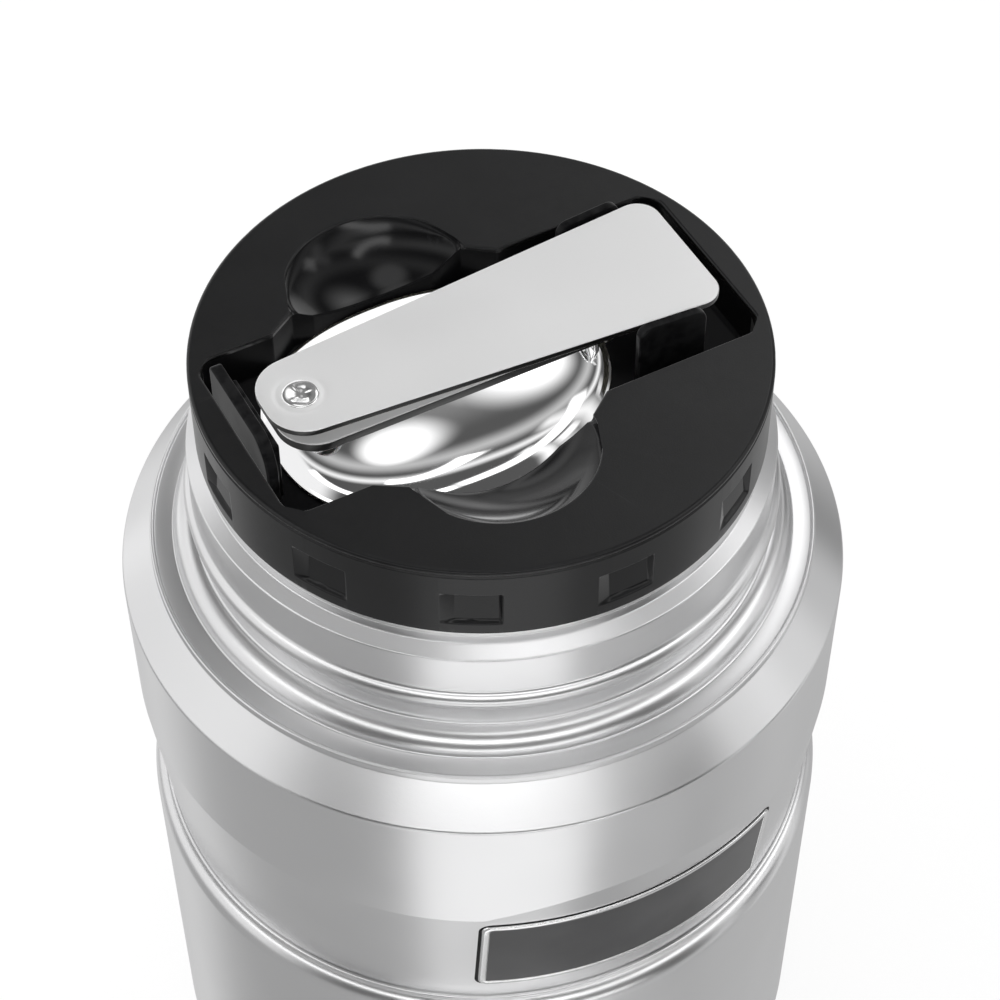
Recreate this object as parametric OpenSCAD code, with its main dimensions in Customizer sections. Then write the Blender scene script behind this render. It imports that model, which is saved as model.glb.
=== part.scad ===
// Insulated food jar with a folding spoon held in its screw-in stopper.
// Millimetres, +Z up. Origin at the centre of the base, where the jar stands.
// +X runs along the folded spoon, and the badge faces -Y.

/* [Jar body] */
// Outer diameter of the upper and the lower wall
body_d = 94; // [90:0.5:100]
// Height of the straight lower wall
lower_h = 54.2; // [45:0.1:60]
// Height of the rounded shoulder between the lower wall and the waist
shoulder_h = 3; // [2:0.1:5]
// How far the waist is drawn in at its narrow end
waist_in = 2.1; // [1:0.1:3]
// Height of the tapered waist
waist_h = 22; // [20:0.1:28]
// Height of the straight upper wall
upper_h = 19.5; // [14:0.1:26]
// Height of the chamfer over the upper wall
chamfer_h = 4.8; // [3:0.1:7]
// Width of that chamfer
chamfer_w = 4.1; // [3:0.1:4.6]
// Height of the small riser inside the chamfer
riser_h = 0.7; // [0.4:0.1:1.2]
// Width of the rounded lip between the riser and the shelf
lip_w = 0.6; // [0.4:0.1:1]
// Thickness of the outer steel shell
shell_t = 0.55; // [0.4:0.05:0.8]
// Radius of the rounding at the foot
foot_r = 2; // [1:0.1:3]
// Width of the flat foot ring
foot_w = 3; // [2:0.1:5]

/* [Neck and mouth] */
// Height of the neck over the shelf
neck_h = 18.1; // [17.5:0.1:22]
// Width of the flat shelf round the neck's root
shelf_w = 2.5; // [1:0.1:4]
// Width of the ledge between the neck and the mouth ring
ledge_w = 1.9; // [1.7:0.1:2.5]
// Height of the mouth ring's straight wall
mouth_h = 1.8; // [1:0.1:3]
// Height of the slope from the mouth ring to the neck
ledge_h = 1; // [0.5:0.1:2]
// Drop from the mouth to the top of the rolled bead
bead_drop = 8.9; // [7:0.1:10]
// Height of the bead
bead_h = 3.3; // [2:0.1:4]
// How far the bead stands out of the neck
bead_out = 0.9; // [0.5:0.1:1.4]
// Height of the rounded root of the neck
root_h = 3.1; // [2:0.1:4]
// Width of the rounded root of the neck
root_w = 2.9; // [2:0.1:3.4]

/* [Inner vessel] */
// Thickness of the inner steel wall
inner_t = 0.5; // [0.4:0.05:0.6]
// Vacuum space between the waist and the inner wall
vacuum_gap = 2.85; // [2:0.05:4]
// Height of the cavity floor over the table
floor_z = 8; // [7:0.1:12]
// Radius between the cavity's floor and wall
floor_r = 6; // [3:0.5:10]
// Height of the cavity's shoulder under the neck
inner_shoulder_h = 9; // [6:0.5:14]
// Depth of the seal's seat below the mouth
seat_drop = 16.05; // [15.5:0.05:17]
// Width of the seal's seat
seat_w = 2.3; // [2:0.1:3]
// Height of the throat under the seat
throat_h = 2.3; // [1.5:0.1:4]

/* [Base and vacuum space] */
// Thickness of the welded bottom
bottom_t = 0.8; // [0.6:0.1:1.2]
// Thickness of the base cover
cover_t = 0.4; // [0.3:0.05:0.5]
// Diameter of the sealed evacuation hole
port_d = 3; // [2:0.5:5]
// Diameter of the getter capsule
getter_d = 7; // [4:0.5:10]
// Height of the getter capsule
getter_h = 2; // [1:0.1:3]
// Distance of the getter from the axis
getter_x = 20; // [10:1:30]
// Thickness of the heat-reflecting foil
foil_t = 0.2; // [0.1:0.05:0.4]
// Gap between the foil and the inner vessel
foil_gap = 0.15; // [0.05:0.05:0.3]

/* [Badge] */
// Width of the badge along the wall
badge_w = 41.3; // [34:0.1:43]
// Height of the badge
badge_h = 16.2; // [12:0.1:17]
// Height of the badge's upper edge under the upper wall
badge_drop = 1.5; // [1:0.1:4]
// Width of the badge's border
badge_border = 0.9; // [0.5:0.1:1.5]
// Thickness of the badge
badge_t = 0.35; // [0.3:0.01:0.38]
// Depth of the dark inlay below the border's face
badge_sink = 0.1; // [0.05:0.01:0.15]
// Corner radius of the badge
badge_r = 1.2; // [0.8:0.1:2]
// Turn of the badge from the closed stopper's spoon
badge_turn = -2.2; // [-10:0.1:10]
// Depth of the flattened pad behind the badge
pad_in = 0.36; // [0.3:0.01:0.5]
// How much flatter the pad's radius is than the waist's
pad_flat = 3.5; // [3:0.1:4.5]

/* [Stopper] */
// How far the stopper's skirt stands out past the mouth ring
cap_over = 0.5; // [0.4:0.1:1]
// Height of the skirt
cap_h = 11.2; // [11:0.1:14]
// Wall of the skirt
cap_wall = 1.9; // [1.2:0.1:1.9]
// Thickness of the cap's top
cap_top = 1.2; // [1:0.1:2]
// Radius of the skirt's upper edge
cap_edge = 0.5; // [0.3:0.1:0.8]
// Gap between the closed skirt and the mouth
cap_gap = 0.5; // [0.3:0.1:1]
// Number of finger grips round the skirt
grip_n = 12; // [6:1:16]
// Width of a finger grip
grip_w = 6.4; // [4:0.1:8]
// Height of a finger grip
grip_h = 4.3; // [3:0.1:6]
// Depth of a finger grip
grip_in = 0.9; // [0.5:0.1:1]
// Drop from the cap's top to the grips
grip_drop = 4.3; // [3:0.1:5]
// Space between the plug's wall and the mouth's wall
plug_gap = 1.6; // [1.55:0.05:1.8]
// Wall of the plug
plug_wall = 1.6; // [1.2:0.1:2.5]
// Thickness of the plug's upper flange
flange_t = 2.8; // [2:0.1:3]
// Thickness of the plug's bottom disc
disc_t = 1.4; // [1.2:0.1:1.5]
// Width of the groove that carries the seal
groove_w = 3.3; // [3:0.1:4]
// Height of the seal ring
seal_h = 1.5; // [1.3:0.1:1.6]
// How far the seal ring lies back from the plug's wall
seal_in = 0.1; // [0.05:0.05:0.3]
// Play of the seal ring in its groove
seal_play = 0.4; // [0.2:0.1:0.6]
// Height of the rim that keeps the seal on
keeper_h = 0.9; // [0.6:0.1:1.5]
// Width of that rim beyond the hub
keeper_w = 1; // [0.5:0.1:1.2]

/* [Thread] */
// Rise of the thread in one turn
lead = 10; // [9.5:0.1:11]
// Angle that each thread covers
thread_sweep = 200; // [150:5:230]
// Height of a thread's ridge out of its wall
ridge_out = 1.2; // [1:0.05:1.3]
// Width of a ridge at its root
ridge_root = 2.2; // [1.8:0.1:2.4]
// Width of a ridge at its crest
ridge_crest = 1.2; // [0.8:0.1:1.4]
// Radial clearance over each ridge's crest
thread_gap = 0.4; // [0.3:0.05:0.6]

/* [Spoon tray] */
// Width of the stopper's rim past the ends of the recess
rim_w = 3.6; // [3.5:0.1:4.5]
// Width of the recess
tray_w = 27.4; // [26:0.1:28]
// Corner radius of the recess
tray_r = 2.8; // [2:0.1:4]
// Height of the bowl's edge over the floor of the recess
floor_gap = 0.2; // [0.1:0.05:0.3]
// Wall of the tray
tray_wall = 0.7; // [0.5:0.05:0.8]
// Thickness of the tray's floor
tray_floor = 1.1; // [0.8:0.1:1.2]
// Radius of the thumb scoops at the top face
scoop_r = 12.1; // [10:0.1:13]
// Depth of the thumb scoops
scoop_depth = 4.8; // [3:0.1:6]
// Distance of the scoops' centres from the spoon's axis
scoop_y = 15; // [14:0.1:17]
// Shift of the scoops from the bowl's centre, along the spoon
scoop_dx = 0.3; // [-2:0.1:2]
// Width of the end lip across the spoon
lip_len = 15.7; // [12:0.1:17]
// Thickness of the end lip
lip_t = 1.5; // [1:0.1:2]
// Height of the end lip over the top face
lip_top = 4.8; // [4:0.1:6]
// Length of each snap tab
tab_l = 9; // [6:0.1:12]
// Thickness of each snap tab
tab_t = 1.1; // [0.8:0.1:1.6]
// Distance of the tabs' middle from the end of the recess
tab_in = 11.4; // [10:0.1:17]
// Height of the tabs over the handle
tab_over = 0.5; // [0.2:0.1:1]
// Clearance between the tabs and the handle
tab_gap = 0.35; // [0.3:0.05:0.6]

/* [Spoon] */
// Distance of the bowl's tip from the end of the recess
tip_gap = 3.55; // [3.3:0.05:5]
// Distance of the bowl's other end from the far end of the recess
bowl_room = 15.55; // [15:0.05:18]
// Width of the spoon's bowl
bowl_w = 33.7; // [28:0.1:34]
// Height of the bowl's dome over its straight edge
dome_h = 4.5; // [3.5:0.1:5]
// Height of the bowl's straight edge
edge_h = 1.8; // [1:0.1:2]
// Thickness of the bowl's steel
bowl_t = 1; // [0.8:0.05:1.2]
// Clearance between the bowl and the recess
bowl_gap = 0.5; // [0.3:0.1:0.8]
// Clearance between the folded layers of the spoon
layer_gap = 0.3; // [0.2:0.05:0.4]
// Half width of the bowl's neck
neck_half = 5.5; // [4.5:0.1:6.5]
// Thickness of the bowl's neck
neck_t = 1.1; // [0.8:0.1:1.3]
// Thickness of the link
link_t = 1.4; // [1:0.1:1.6]
// Half width of the link
link_half = 7; // [6:0.1:8]
// Corner radius of the link's ends
link_r = 5; // [3:0.1:6]
// Thickness of the handle
handle_t = 1.1; // [0.8:0.05:1.4]
// Space between the link and the handle
handle_gap = 0.7; // [0.65:0.05:1]
// Distance of the handle's ends from the ends of the recess
handle_in = 3.2; // [3:0.1:5]
// Half width of the handle at its rivet
handle_w0 = 5.8; // [5:0.1:7]
// Half width of the handle at its free end
handle_w1 = 10; // [8:0.1:11]
// Corner radius at the handle's rivet end
handle_r0 = 5; // [3:0.1:5.5]
// Corner radius at the handle's free end
handle_r1 = 3; // [2:0.1:5]
// Distance of the visible rivet from the handle's end
rivet_in = 4.8; // [4:0.1:6]
// Distance of the hidden rivet from the end of the bowl
pivot_out = 5.65; // [5:0.05:7]
// Radius of both rivets
rivet_r = 1.5; // [1.2:0.1:1.8]
// Radius of the visible rivet's head
head_r = 2.2; // [2.1:0.1:3]
// Height of the visible rivet's head
head_h = 0.35; // [0.2:0.05:0.5]
// Radius of the rivets' lower heads
tail_r = 2.8; // [2.4:0.1:3.2]
// Height of the rivets' lower heads
tail_h = 0.6; // [0.4:0.1:0.8]
// Radius of the washers between the layers
washer_r = 3.2; // [2.8:0.1:4]
// Running clearance of the rivets, by radius
run = 0.05; // [0.03:0.01:0.1]

/* [Hidden] */
$fn = 96;

eps = 0.01;      // overlap that makes a cut pass clean through
touch = 0.05;    // gap between fixed curved pieces, and under a seal
flat_gap = 0.05; // gap between flat faces that slide on each other

// Heights of the jar, from the table up
body_r = body_d / 2;
z_waist = lower_h + shoulder_h;
z_upper = z_waist + waist_h;
z_chamfer = z_upper + upper_h;
z_riser = z_chamfer + chamfer_h;
z_shelf = z_riser + riser_h;
z_mouth = z_shelf + neck_h;
z_seat = z_mouth - seat_drop;
waist_r = body_r - waist_in;
waist_slope = waist_in / waist_h;
lip_r = body_r - chamfer_w;
neck_r = lip_r - lip_w - shelf_w - root_w;
mouth_r = neck_r - ledge_w;
foot_in = body_r - foot_r - foot_w;

// Inner vessel
cavity_r = waist_r - shell_t - vacuum_gap - inner_t;
bore_r = mouth_r - shell_t - inner_t - touch;
throat_r = bore_r - seat_w;
z_shell_top = z_mouth - inner_t;
z_throat = z_seat - throat_h;
z_cavity = z_throat - inner_shoulder_h;

// Stopper
cap_r = mouth_r + cap_over;
z_skirt = z_mouth + cap_gap;
z_top = z_skirt + cap_h;
tray_depth = dome_h + edge_h + floor_gap;
z_tray = z_top - tray_depth - tray_floor;
plug_r = bore_r - plug_gap;
z_flange = z_tray - flange_t;
z_seal = z_seat + touch;
z_disc = z_seal + seal_h + seal_play + disc_t;
plug_h = z_flange - z_disc;
hub_r = plug_r - groove_w;
seal_r = plug_r - seal_in;
flange_gap = 0.1; // radial clearance of the plug's flange in the skirt
tray_l = 2 * (cap_r - rim_w);
tab_x = tray_l / 2 - tab_in;
thread_low = 3.4; // start of the threads above the plug's bottom disc
ridge_play = 0.3; // axial clearance between mating ridges
pitch_offset = (ridge_root + ridge_crest) / 2 + ridge_play;

// Spoon, from the top face up
z_rim = z_top - dome_h - edge_h;
z_link = z_top + layer_gap;
z_handle = z_link + link_t + handle_gap;
z_spoon = z_handle + handle_t;
z_neck = z_top - layer_gap / 3;
bowl_l = tray_l - tip_gap - bowl_room;
bowl_x = tip_gap + bowl_l / 2 - tray_l / 2;
pivot_x = bowl_x + bowl_l / 2 + pivot_out;
handle_l = tray_l - 2 * handle_in;
handle_x0 = -handle_l / 2;
rivet_x = handle_x0 + rivet_in;
link_over = 4.1;  // steel of the link beyond each rivet
neck_over = 5.5;  // steel of the bowl's neck beyond its rivet
taper = atan((handle_w1 - handle_w0) / handle_l);

function arc(c, rx, rz, a0, a1, n = 8) =
    [for (i = [0:n]) let (a = a0 + (a1 - a0) * i / n) [c[0] + rx * cos(a), c[1] + rz * sin(a)]];

// Bead on the neck: a quick rise and a longer fall, as half waves
function bead(r, z, h, out, n = 8) =
    [for (i = [0:n]) let (s = i / n, t = pow(s, 0.8)) [r + out * sin(180 * t), z - h * s]];

// Outline of a bar with rounded ends that may taper, symmetric about x
function bar(x0, w0, r0, x1, w1, r1, n = 10) =
    let (a = atan((w1 - w0) / (x1 - x0)),
         c0 = [x0 + r0, w0 + r0 * tan(a) - r0 / cos(a)],
         c1 = [x1 - r1, w1 - r1 * tan(a) - r1 / cos(a)],
         top = concat(arc(c0, r0, r0, 180, 90 + a, n), arc(c1, r1, r1, 90 + a, 0, n)))
    concat(top, [for (i = [len(top) - 1:-1:0]) [top[i][0], -top[i][1]]]);

function ellipse(a, b, n = 72) = [for (i = [0:n - 1]) [a * cos(360 * i / n), b * sin(360 * i / n)]];

// Outer surface of the shell, from the mouth to the foot, set in by t
function shell_line(t) = concat(
    [[mouth_r - t, z_shell_top + (t > 0 ? eps : 0)], [mouth_r - t, z_mouth - mouth_h - t],
     [neck_r - t, z_mouth - mouth_h - ledge_h - t]],
    bead(neck_r - t, z_mouth - bead_drop, bead_h, bead_out),
    [for (p = arc([neck_r - t, z_shelf - t], root_w, root_h, 90, 0)) p],
    [[lip_r - lip_w - t, z_shelf - t]],
    arc([lip_r - lip_w / 2 - t, z_shelf - t], lip_w / 2, lip_w / 2, 180, 0, 6),
    [[lip_r - t, z_riser - t * 0.4], [body_r - t, z_chamfer - t * 0.4], [body_r - t, z_upper],
     [waist_r - t, z_waist]],
    arc([waist_r - t, z_waist - shoulder_h], waist_in, shoulder_h, 90, 0)
    );

// Flattened pad behind the badge: what lies outside a wider, offset cone
module pad_cut(t) {
    rotate([0, 0, badge_turn])
        difference() {
            translate([-badge_w, -body_r - 5, z_waist - 0.6])
                cube([2 * badge_w, body_r, waist_h + pad_in / waist_slope + 0.9]);
            pad_cone(-t);
        }
}

// Solid inside the pad's surface, or a little outside it
module pad_cone(out) {
    low = z_waist - 5;
    high = z_upper + 10;
    translate([0, pad_flat + pad_in, low])
        cylinder(h = high - low,
            r1 = waist_r + pad_flat + out + (low - z_waist) * waist_slope,
            r2 = waist_r + pad_flat + out + (high - z_waist) * waist_slope);
}

module outer_shell() {
    color("silver")
        difference() {
            difference() {
                rotate_extrude()
                    polygon(concat([[0, 0], [0, z_shell_top]], shell_line(0),
                        arc([body_r - foot_r, foot_r], foot_r, foot_r, 0, -90)));
                pad_cut(0);
            }
            difference() {
                rotate_extrude()
                    polygon(concat([[0, shell_t], [0, z_shell_top + eps]], shell_line(shell_t),
                        arc([body_r - foot_r, foot_r], foot_r - shell_t, foot_r - shell_t, 0, -90)));
                pad_cut(shell_t);
            }
            translate([0, 0, -eps]) cylinder(h = shell_t + 2 * eps, r = foot_in);
        }
}

// Profile of the inner vessel's food side, set out by t
function vessel_line(t) = concat(
    [[bore_r + t, z_mouth + (t > 0 ? 0 : eps)], [bore_r + t, z_seat - t], [throat_r + t, z_seat - t],
     [throat_r + t, z_throat + t * 0.4]],
    arc([throat_r + t, z_cavity + t * 0.4], cavity_r - throat_r,
        z_throat - z_cavity, 90, 0),
    arc([cavity_r - floor_r, floor_z + floor_r], floor_r + t, floor_r + t, 0, -90),
    [[0, floor_z - t]]);

module inner_vessel() {
    color("gainsboro") {
        difference() {
            union() {
                rotate_extrude()
                    polygon(concat([[0, z_mouth]], vessel_line(inner_t)));
                translate([0, 0, z_mouth - inner_t]) cylinder(h = inner_t, r = mouth_r);
            }
            rotate_extrude()
                polygon(concat([[0, z_mouth + eps]], vessel_line(0)));
        }
        for (a = [0, 180])
            rotate([0, 0, a])
                thread(bore_r + inner_t * 0.6, bore_r - ridge_out, z_disc + thread_low);
    }
}

// One helical ridge: its root radius, its crest radius and its start height
module thread(root, crest, z0) {
    n = round(thread_sweep / 6);
    ends = 3;
    rings = [for (i = [0:n])
        let (a = i * thread_sweep / n, k = min(1, i / ends, (n - i) / ends),
             c = root + (crest - root) * max(0.35, k), z = z0 + lead * a / 360)
        [for (p = [[root, -ridge_root / 2], [c, -ridge_crest / 2], [c, ridge_crest / 2],
            [root, ridge_root / 2]]) [p[0] * cos(a), p[0] * sin(a), z + p[1]]]];
    side = crest > root ? 1 : -1;
    faces = concat(
        [for (i = [0:n - 1], j = [0:3]) let (k = (j + 1) % 4, a = 4 * i, b = 4 * i + 4)
            side > 0 ? [a + j, a + k, b + k, b + j] : [a + j, b + j, b + k, a + k]],
        side > 0 ? [[3, 2, 1, 0], [4 * n, 4 * n + 1, 4 * n + 2, 4 * n + 3]]
                 : [[0, 1, 2, 3], [4 * n + 3, 4 * n + 2, 4 * n + 1, 4 * n]]);
    polyhedron([for (r = rings, p = r) p], faces);
}

module radiation_foil() {
    r = cavity_r + inner_t + foil_gap;
    color("goldenrod")
        translate([0, 0, floor_z + floor_r])
            difference() {
                cylinder(h = z_cavity - floor_z - floor_r, r = r + foil_t);
                translate([0, 0, -eps]) cylinder(h = z_cavity, r = r);
            }
}

module outer_bottom() {
    color("silver")
        translate([0, 0, shell_t])
            difference() {
                cylinder(h = bottom_t, r = body_r - foot_r);
                translate([0, 0, -eps]) cylinder(h = bottom_t + 2 * eps, d = port_d);
            }
}

module vacuum_seal() {
    color("dimgray")
        translate([0, 0, shell_t]) {
            cylinder(h = bottom_t, r = port_d / 2 - touch);
            translate([0, 0, bottom_t + flat_gap]) cylinder(h = 0.6, r = port_d / 2 + 0.8);
            translate([0, 0, bottom_t - eps]) cylinder(h = flat_gap + 2 * eps, r = port_d / 2 - touch);
        }
}

module getter_capsule() {
    color("slategray")
        translate([getter_x, 0, shell_t + bottom_t])
            cylinder(h = getter_h, d = getter_d);
}

module base_cover() {
    color("gray")
        translate([0, 0, shell_t - cover_t])
            cylinder(h = cover_t, r = foot_in - touch);
}

// Upright rounded block over the badge's place, set in by s
module badge_prism(s) {
    top = z_upper - badge_drop - s;
    low = z_upper - badge_drop - badge_h + s;
    w = badge_w / 2 - s;
    r = badge_r;
    rotate([0, 0, badge_turn])
        rotate([90, 0, 0])
            translate([0, 0, body_r - 12])
                linear_extrude(20)
                    polygon(concat(
                        arc([w - r, top - r], r, r, 0, 90, 5), arc([r - w, top - r], r, r, 90, 180, 5),
                        arc([r - w, low + r], r, r, 180, 270, 5), arc([w - r, low + r], r, r, 270, 360, 5)));
}

module badge_frame() {
    color("silver")
        difference() {
            intersection() {
                badge_prism(0);
                rotate([0, 0, badge_turn]) pad_cone(badge_t);
            }
            rotate([0, 0, badge_turn]) pad_cone(touch / 2);
            badge_prism(badge_border);
        }
}

module badge_inlay() {
    color([0.2, 0.2, 0.21])
        difference() {
            intersection() {
                badge_prism(badge_border + flat_gap / 2);
                rotate([0, 0, badge_turn]) pad_cone(badge_t - badge_sink);
            }
            rotate([0, 0, badge_turn]) pad_cone(touch / 2);
        }
}

// Plan of the deep recess: the long pocket and the bowl's place, grown by g
module recess_plan(g) {
    polygon([for (q = [[1, 1], [-1, 1], [-1, -1], [1, -1]])
        let (a0 = q[0] > 0 ? (q[1] > 0 ? 0 : 270) : (q[1] > 0 ? 90 : 180))
        for (p = arc([q[0] * (tray_l / 2 - tray_r), q[1] * (tray_w / 2 - tray_r)],
            tray_r + g, tray_r + g, a0, a0 + 90, 6)) p]);
    translate([bowl_x, 0]) polygon(ellipse(bowl_l / 2 + bowl_gap + g, bowl_w / 2 + bowl_gap + g));
    for (s = [1, -1])
        polygon([for (p = [[-16.2, tray_w / 2 - 0.5 + g], [-11.7, 16 + g], [0, 16 + g], [11.9, 16.5 + g],
            [15.6, tray_w / 2 + g], [15.6, 0], [-16.2, 0]]) [bowl_x + p[0], s * p[1]]]);
}

module scoops() {
    ball = (pow(scoop_r, 2) + pow(scoop_depth, 2)) / (2 * scoop_depth);
    for (s = [1, -1])
        translate([bowl_x + scoop_dx, s * scoop_y, z_top + ball - scoop_depth])
            sphere(r = ball);
}

// Outer form of the tray under the cap's top, grown by g for its place in the cap
module tray_form(g) {
    translate([0, 0, z_tray - g])
        linear_extrude(z_top - cap_top - z_tray + g) {
            recess_plan(tray_wall + g);
            for (s = [1, -1])
                translate([bowl_x + scoop_dx, s * scoop_y]) circle(r = scoop_r + g);
        }
}

module spoon_tray() {
    color([0.05, 0.05, 0.06]) {
        difference() {
            tray_form(0);
            translate([0, 0, z_top - tray_depth])
                linear_extrude(tray_depth + eps) recess_plan(0);
            scoops();
        }
        end_lip();
        for (s = [1, -1]) snap_tab(s);
    }
}

// Raised lip beyond the handle's riveted end, with one rounded shoulder
module end_lip() {
    x = -tray_l / 2 + touch;
    y0 = -lip_len / 2 + 0.35;
    y1 = lip_len / 2 + 0.35;
    base = -tray_depth - eps;
    translate([x, 0, z_top])
        rotate([90, 0, 90])
            linear_extrude(lip_t)
                polygon(concat([[y0, base], [y1, base]],
                    arc([y1 - 0.8, lip_top - 0.8], 0.8, 0.8, 0, 90, 5),
                    arc([y0 + 3.4, 0], 3.4, lip_top, 90, 180, 8)));
    translate([x + lip_t - eps, y0 + 2.4, z_top - tray_depth - eps])
        cube([handle_x0 - 0.4 - x - lip_t, lip_len - 3.6, tray_depth + 2.2]);
}

module snap_tab(s) {
    y = handle_w0 + (tab_x - handle_x0) * tan(taper) + tab_gap / cos(taper);
    top = z_spoon - z_top + tab_over;
    r = 1.6;
    translate([tab_x, s * y, z_top])
        rotate([0, 0, s * taper])
            translate([0, s > 0 ? tab_t : 0, 0])
                rotate([90, 0, 0])
                    linear_extrude(tab_t)
                        polygon(concat([[-tab_l / 2, -tray_depth - eps], [tab_l / 2, -tray_depth - eps]],
                            arc([tab_l / 2 - r, top - r], r, r, 0, 90, 5),
                            arc([r - tab_l / 2, top - r], r, r, 90, 180, 5)));
}

module stopper_cap() {
    color([0.16, 0.16, 0.17])
        difference() {
            rotate_extrude()
                polygon(concat([[0, z_top - cap_top]],
                    [[cap_r - cap_wall, z_top - cap_top], [cap_r - cap_wall, z_skirt], [cap_r, z_skirt]],
                    arc([cap_r - cap_edge, z_top - cap_edge], cap_edge, cap_edge, 0, 90, 5),
                    [[0, z_top]]));
            tray_form(touch);
            translate([0, 0, z_top - cap_top - 1]) linear_extrude(cap_top + 2) recess_plan(0);
            scoops();
            for (i = [0:grip_n - 1])
                rotate([0, 0, i * 360 / grip_n]) grip();
        }
}

// One finger grip: a flat floor between two slanting cheeks
module grip() {
    slant = 0.9;
    translate([0, 0, z_top - grip_drop - grip_h])
        linear_extrude(grip_h)
            polygon([[cap_r + 1, -grip_w / 2 - slant], [cap_r + 1, grip_w / 2 + slant],
                [cap_r - grip_in, grip_w / 2 - slant], [cap_r - grip_in, slant - grip_w / 2]]);
}

module plug_body() {
    color([0.09, 0.09, 0.1]) {
        translate([0, 0, z_disc])
            difference() {
                union() {
                    cylinder(h = z_tray - z_disc, r = plug_r);
                    translate([0, 0, plug_h]) cylinder(h = flange_t, r = cap_r - cap_wall - flange_gap);
                }
                translate([0, 0, -eps]) cylinder(h = z_tray - z_disc + 2 * eps, r = plug_r - plug_wall);
            }
        for (a = [0, 180])
            rotate([0, 0, a])
                thread(plug_r - plug_wall * 0.3, bore_r - thread_gap, z_disc + thread_low - pitch_offset);
    }
}

module foam_insulation() {
    color("ivory")
        translate([0, 0, z_disc])
            cylinder(h = z_tray - z_disc, r = plug_r - plug_wall - 0.1);
}

module plug_bottom() {
    color([0.09, 0.09, 0.1])
        difference() {
            rotate_extrude()
                polygon([[0, z_disc], [plug_r, z_disc], [plug_r, z_disc - disc_t], [hub_r, z_disc - disc_t],
                    [hub_r, z_seal - flat_gap], [hub_r + keeper_w, z_seal - flat_gap],
                    [hub_r + keeper_w - 0.3, z_seal - flat_gap - keeper_h], [0, z_seal - flat_gap - keeper_h]]);
        }
}

module seal_ring() {
    lip = 0.9;
    color("whitesmoke")
        rotate_extrude()
            polygon([[hub_r + flat_gap, z_seal], [seal_r - lip, z_seal], [seal_r, z_seal + 0.25],
                [seal_r, z_seal + seal_h * 0.6], [seal_r - lip, z_seal + seal_h],
                [hub_r + flat_gap, z_seal + seal_h]]);
}

// Dome of the spoon's bowl, set in by t: a part of a ring surface over an oval
module dome(t) {
    across = (pow(bowl_w / 2, 2) + pow(dome_h, 2)) / (2 * dome_h);
    along = (pow(bowl_l / 2, 2) + pow(dome_h, 2)) / (2 * dome_h);
    intersection() {
        translate([bowl_x, 0, z_rim - (t > 0 ? eps : 0)])
            linear_extrude(dome_h + edge_h + 1)
                polygon(ellipse(bowl_l / 2 - t, bowl_w / 2 - t));
        translate([bowl_x, 0, z_top - across])
            rotate([0, 90, 0])
                rotate_extrude()
                    intersection() {
                        translate([across - along, 0]) circle(r = along - t, $fn = 180);
                        translate([0, -bowl_l]) square([across + 1, 2 * bowl_l]);
                    }
    }
}

// Plan of the neck: flares from the bowl, then runs to its round end
module neck_plan() {
    x0 = bowl_x + bowl_l / 2 - 5;
    flare = [for (i = [0:8]) let (s = i / 8) [x0 + 6 * s, neck_half + 5 * pow(1 - s, 2)]];
    end = arc([pivot_x, 0], neck_over, neck_half, 90, -90, 16);
    polygon(concat(flare, end, [for (i = [8:-1:0]) [flare[i][0], -flare[i][1]]]));
}

// Side view of the neck: from the bowl's edge up to the link
module neck_side() {
    x0 = bowl_x + bowl_l / 2;
    rise = [for (i = [0:8]) let (s = i / 8) [x0 - 5 + 6.5 * s, z_rim + 0.6 + (z_neck - neck_t - z_rim - 0.6)
        * (3 * s * s - 2 * s * s * s)]];
    polygon(concat(rise, [[pivot_x + 8, z_neck - neck_t], [pivot_x + 8, z_neck]],
        [for (i = [8:-1:0]) [rise[i][0] - 0.3, rise[i][1] + neck_t]]));
}

module spoon_bowl() {
    color("lightgray")
        difference() {
            union() {
                dome(0);
                intersection() {
                    translate([0, 0, z_rim]) linear_extrude(z_top - z_rim) neck_plan();
                    translate([0, 20, 0]) rotate([90, 0, 0]) linear_extrude(40) neck_side();
                }
            }
            dome(bowl_t);
            translate([pivot_x, 0, z_rim]) cylinder(h = z_top - z_rim, r = rivet_r + run);
        }
}

// Rivet, with its lower head's underside at z0, its upper head's top at z1
module rivet(x, z0, z1, top_r, top_h) {
    translate([x, 0, z0]) {
        cylinder(h = tail_h, r = tail_r);
        cylinder(h = z1 - z0, r = rivet_r);
        translate([0, 0, z1 - z0 - top_h]) cylinder(h = top_h, r = top_r);
    }
}

module link_rivet() {
    color("lightgray")
        rivet(pivot_x, z_neck - neck_t - flat_gap - tail_h, z_link + link_t + flat_gap + 0.5, tail_r, 0.5);
}

module washer(x, z0, z1) {
    translate([x, 0, z0])
        difference() {
            cylinder(h = z1 - z0, r = washer_r);
            translate([0, 0, -eps]) cylinder(h = z1 - z0 + 2 * eps, r = rivet_r + run);
        }
}

module link_washer() {
    color("white") washer(pivot_x, z_neck, z_link - flat_gap);
}

module spoon_link() {
    color("lightgray")
        difference() {
            translate([0, 0, z_link])
                linear_extrude(link_t)
                    polygon(bar(rivet_x - link_over, link_half, link_r, pivot_x + link_over, link_half, link_r));
            for (x = [rivet_x, pivot_x])
                translate([x, 0, z_link - eps]) cylinder(h = link_t + 2 * eps, r = rivet_r + run);
        }
}

module spoon_handle() {
    color("gainsboro")
        difference() {
            translate([0, 0, z_handle])
                linear_extrude(handle_t)
                    polygon(bar(handle_x0, handle_w0, handle_r0, -handle_x0, handle_w1, handle_r1));
            translate([rivet_x, 0, z_handle - eps]) cylinder(h = handle_t + 2 * eps, r = rivet_r + run);
        }
}

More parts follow.
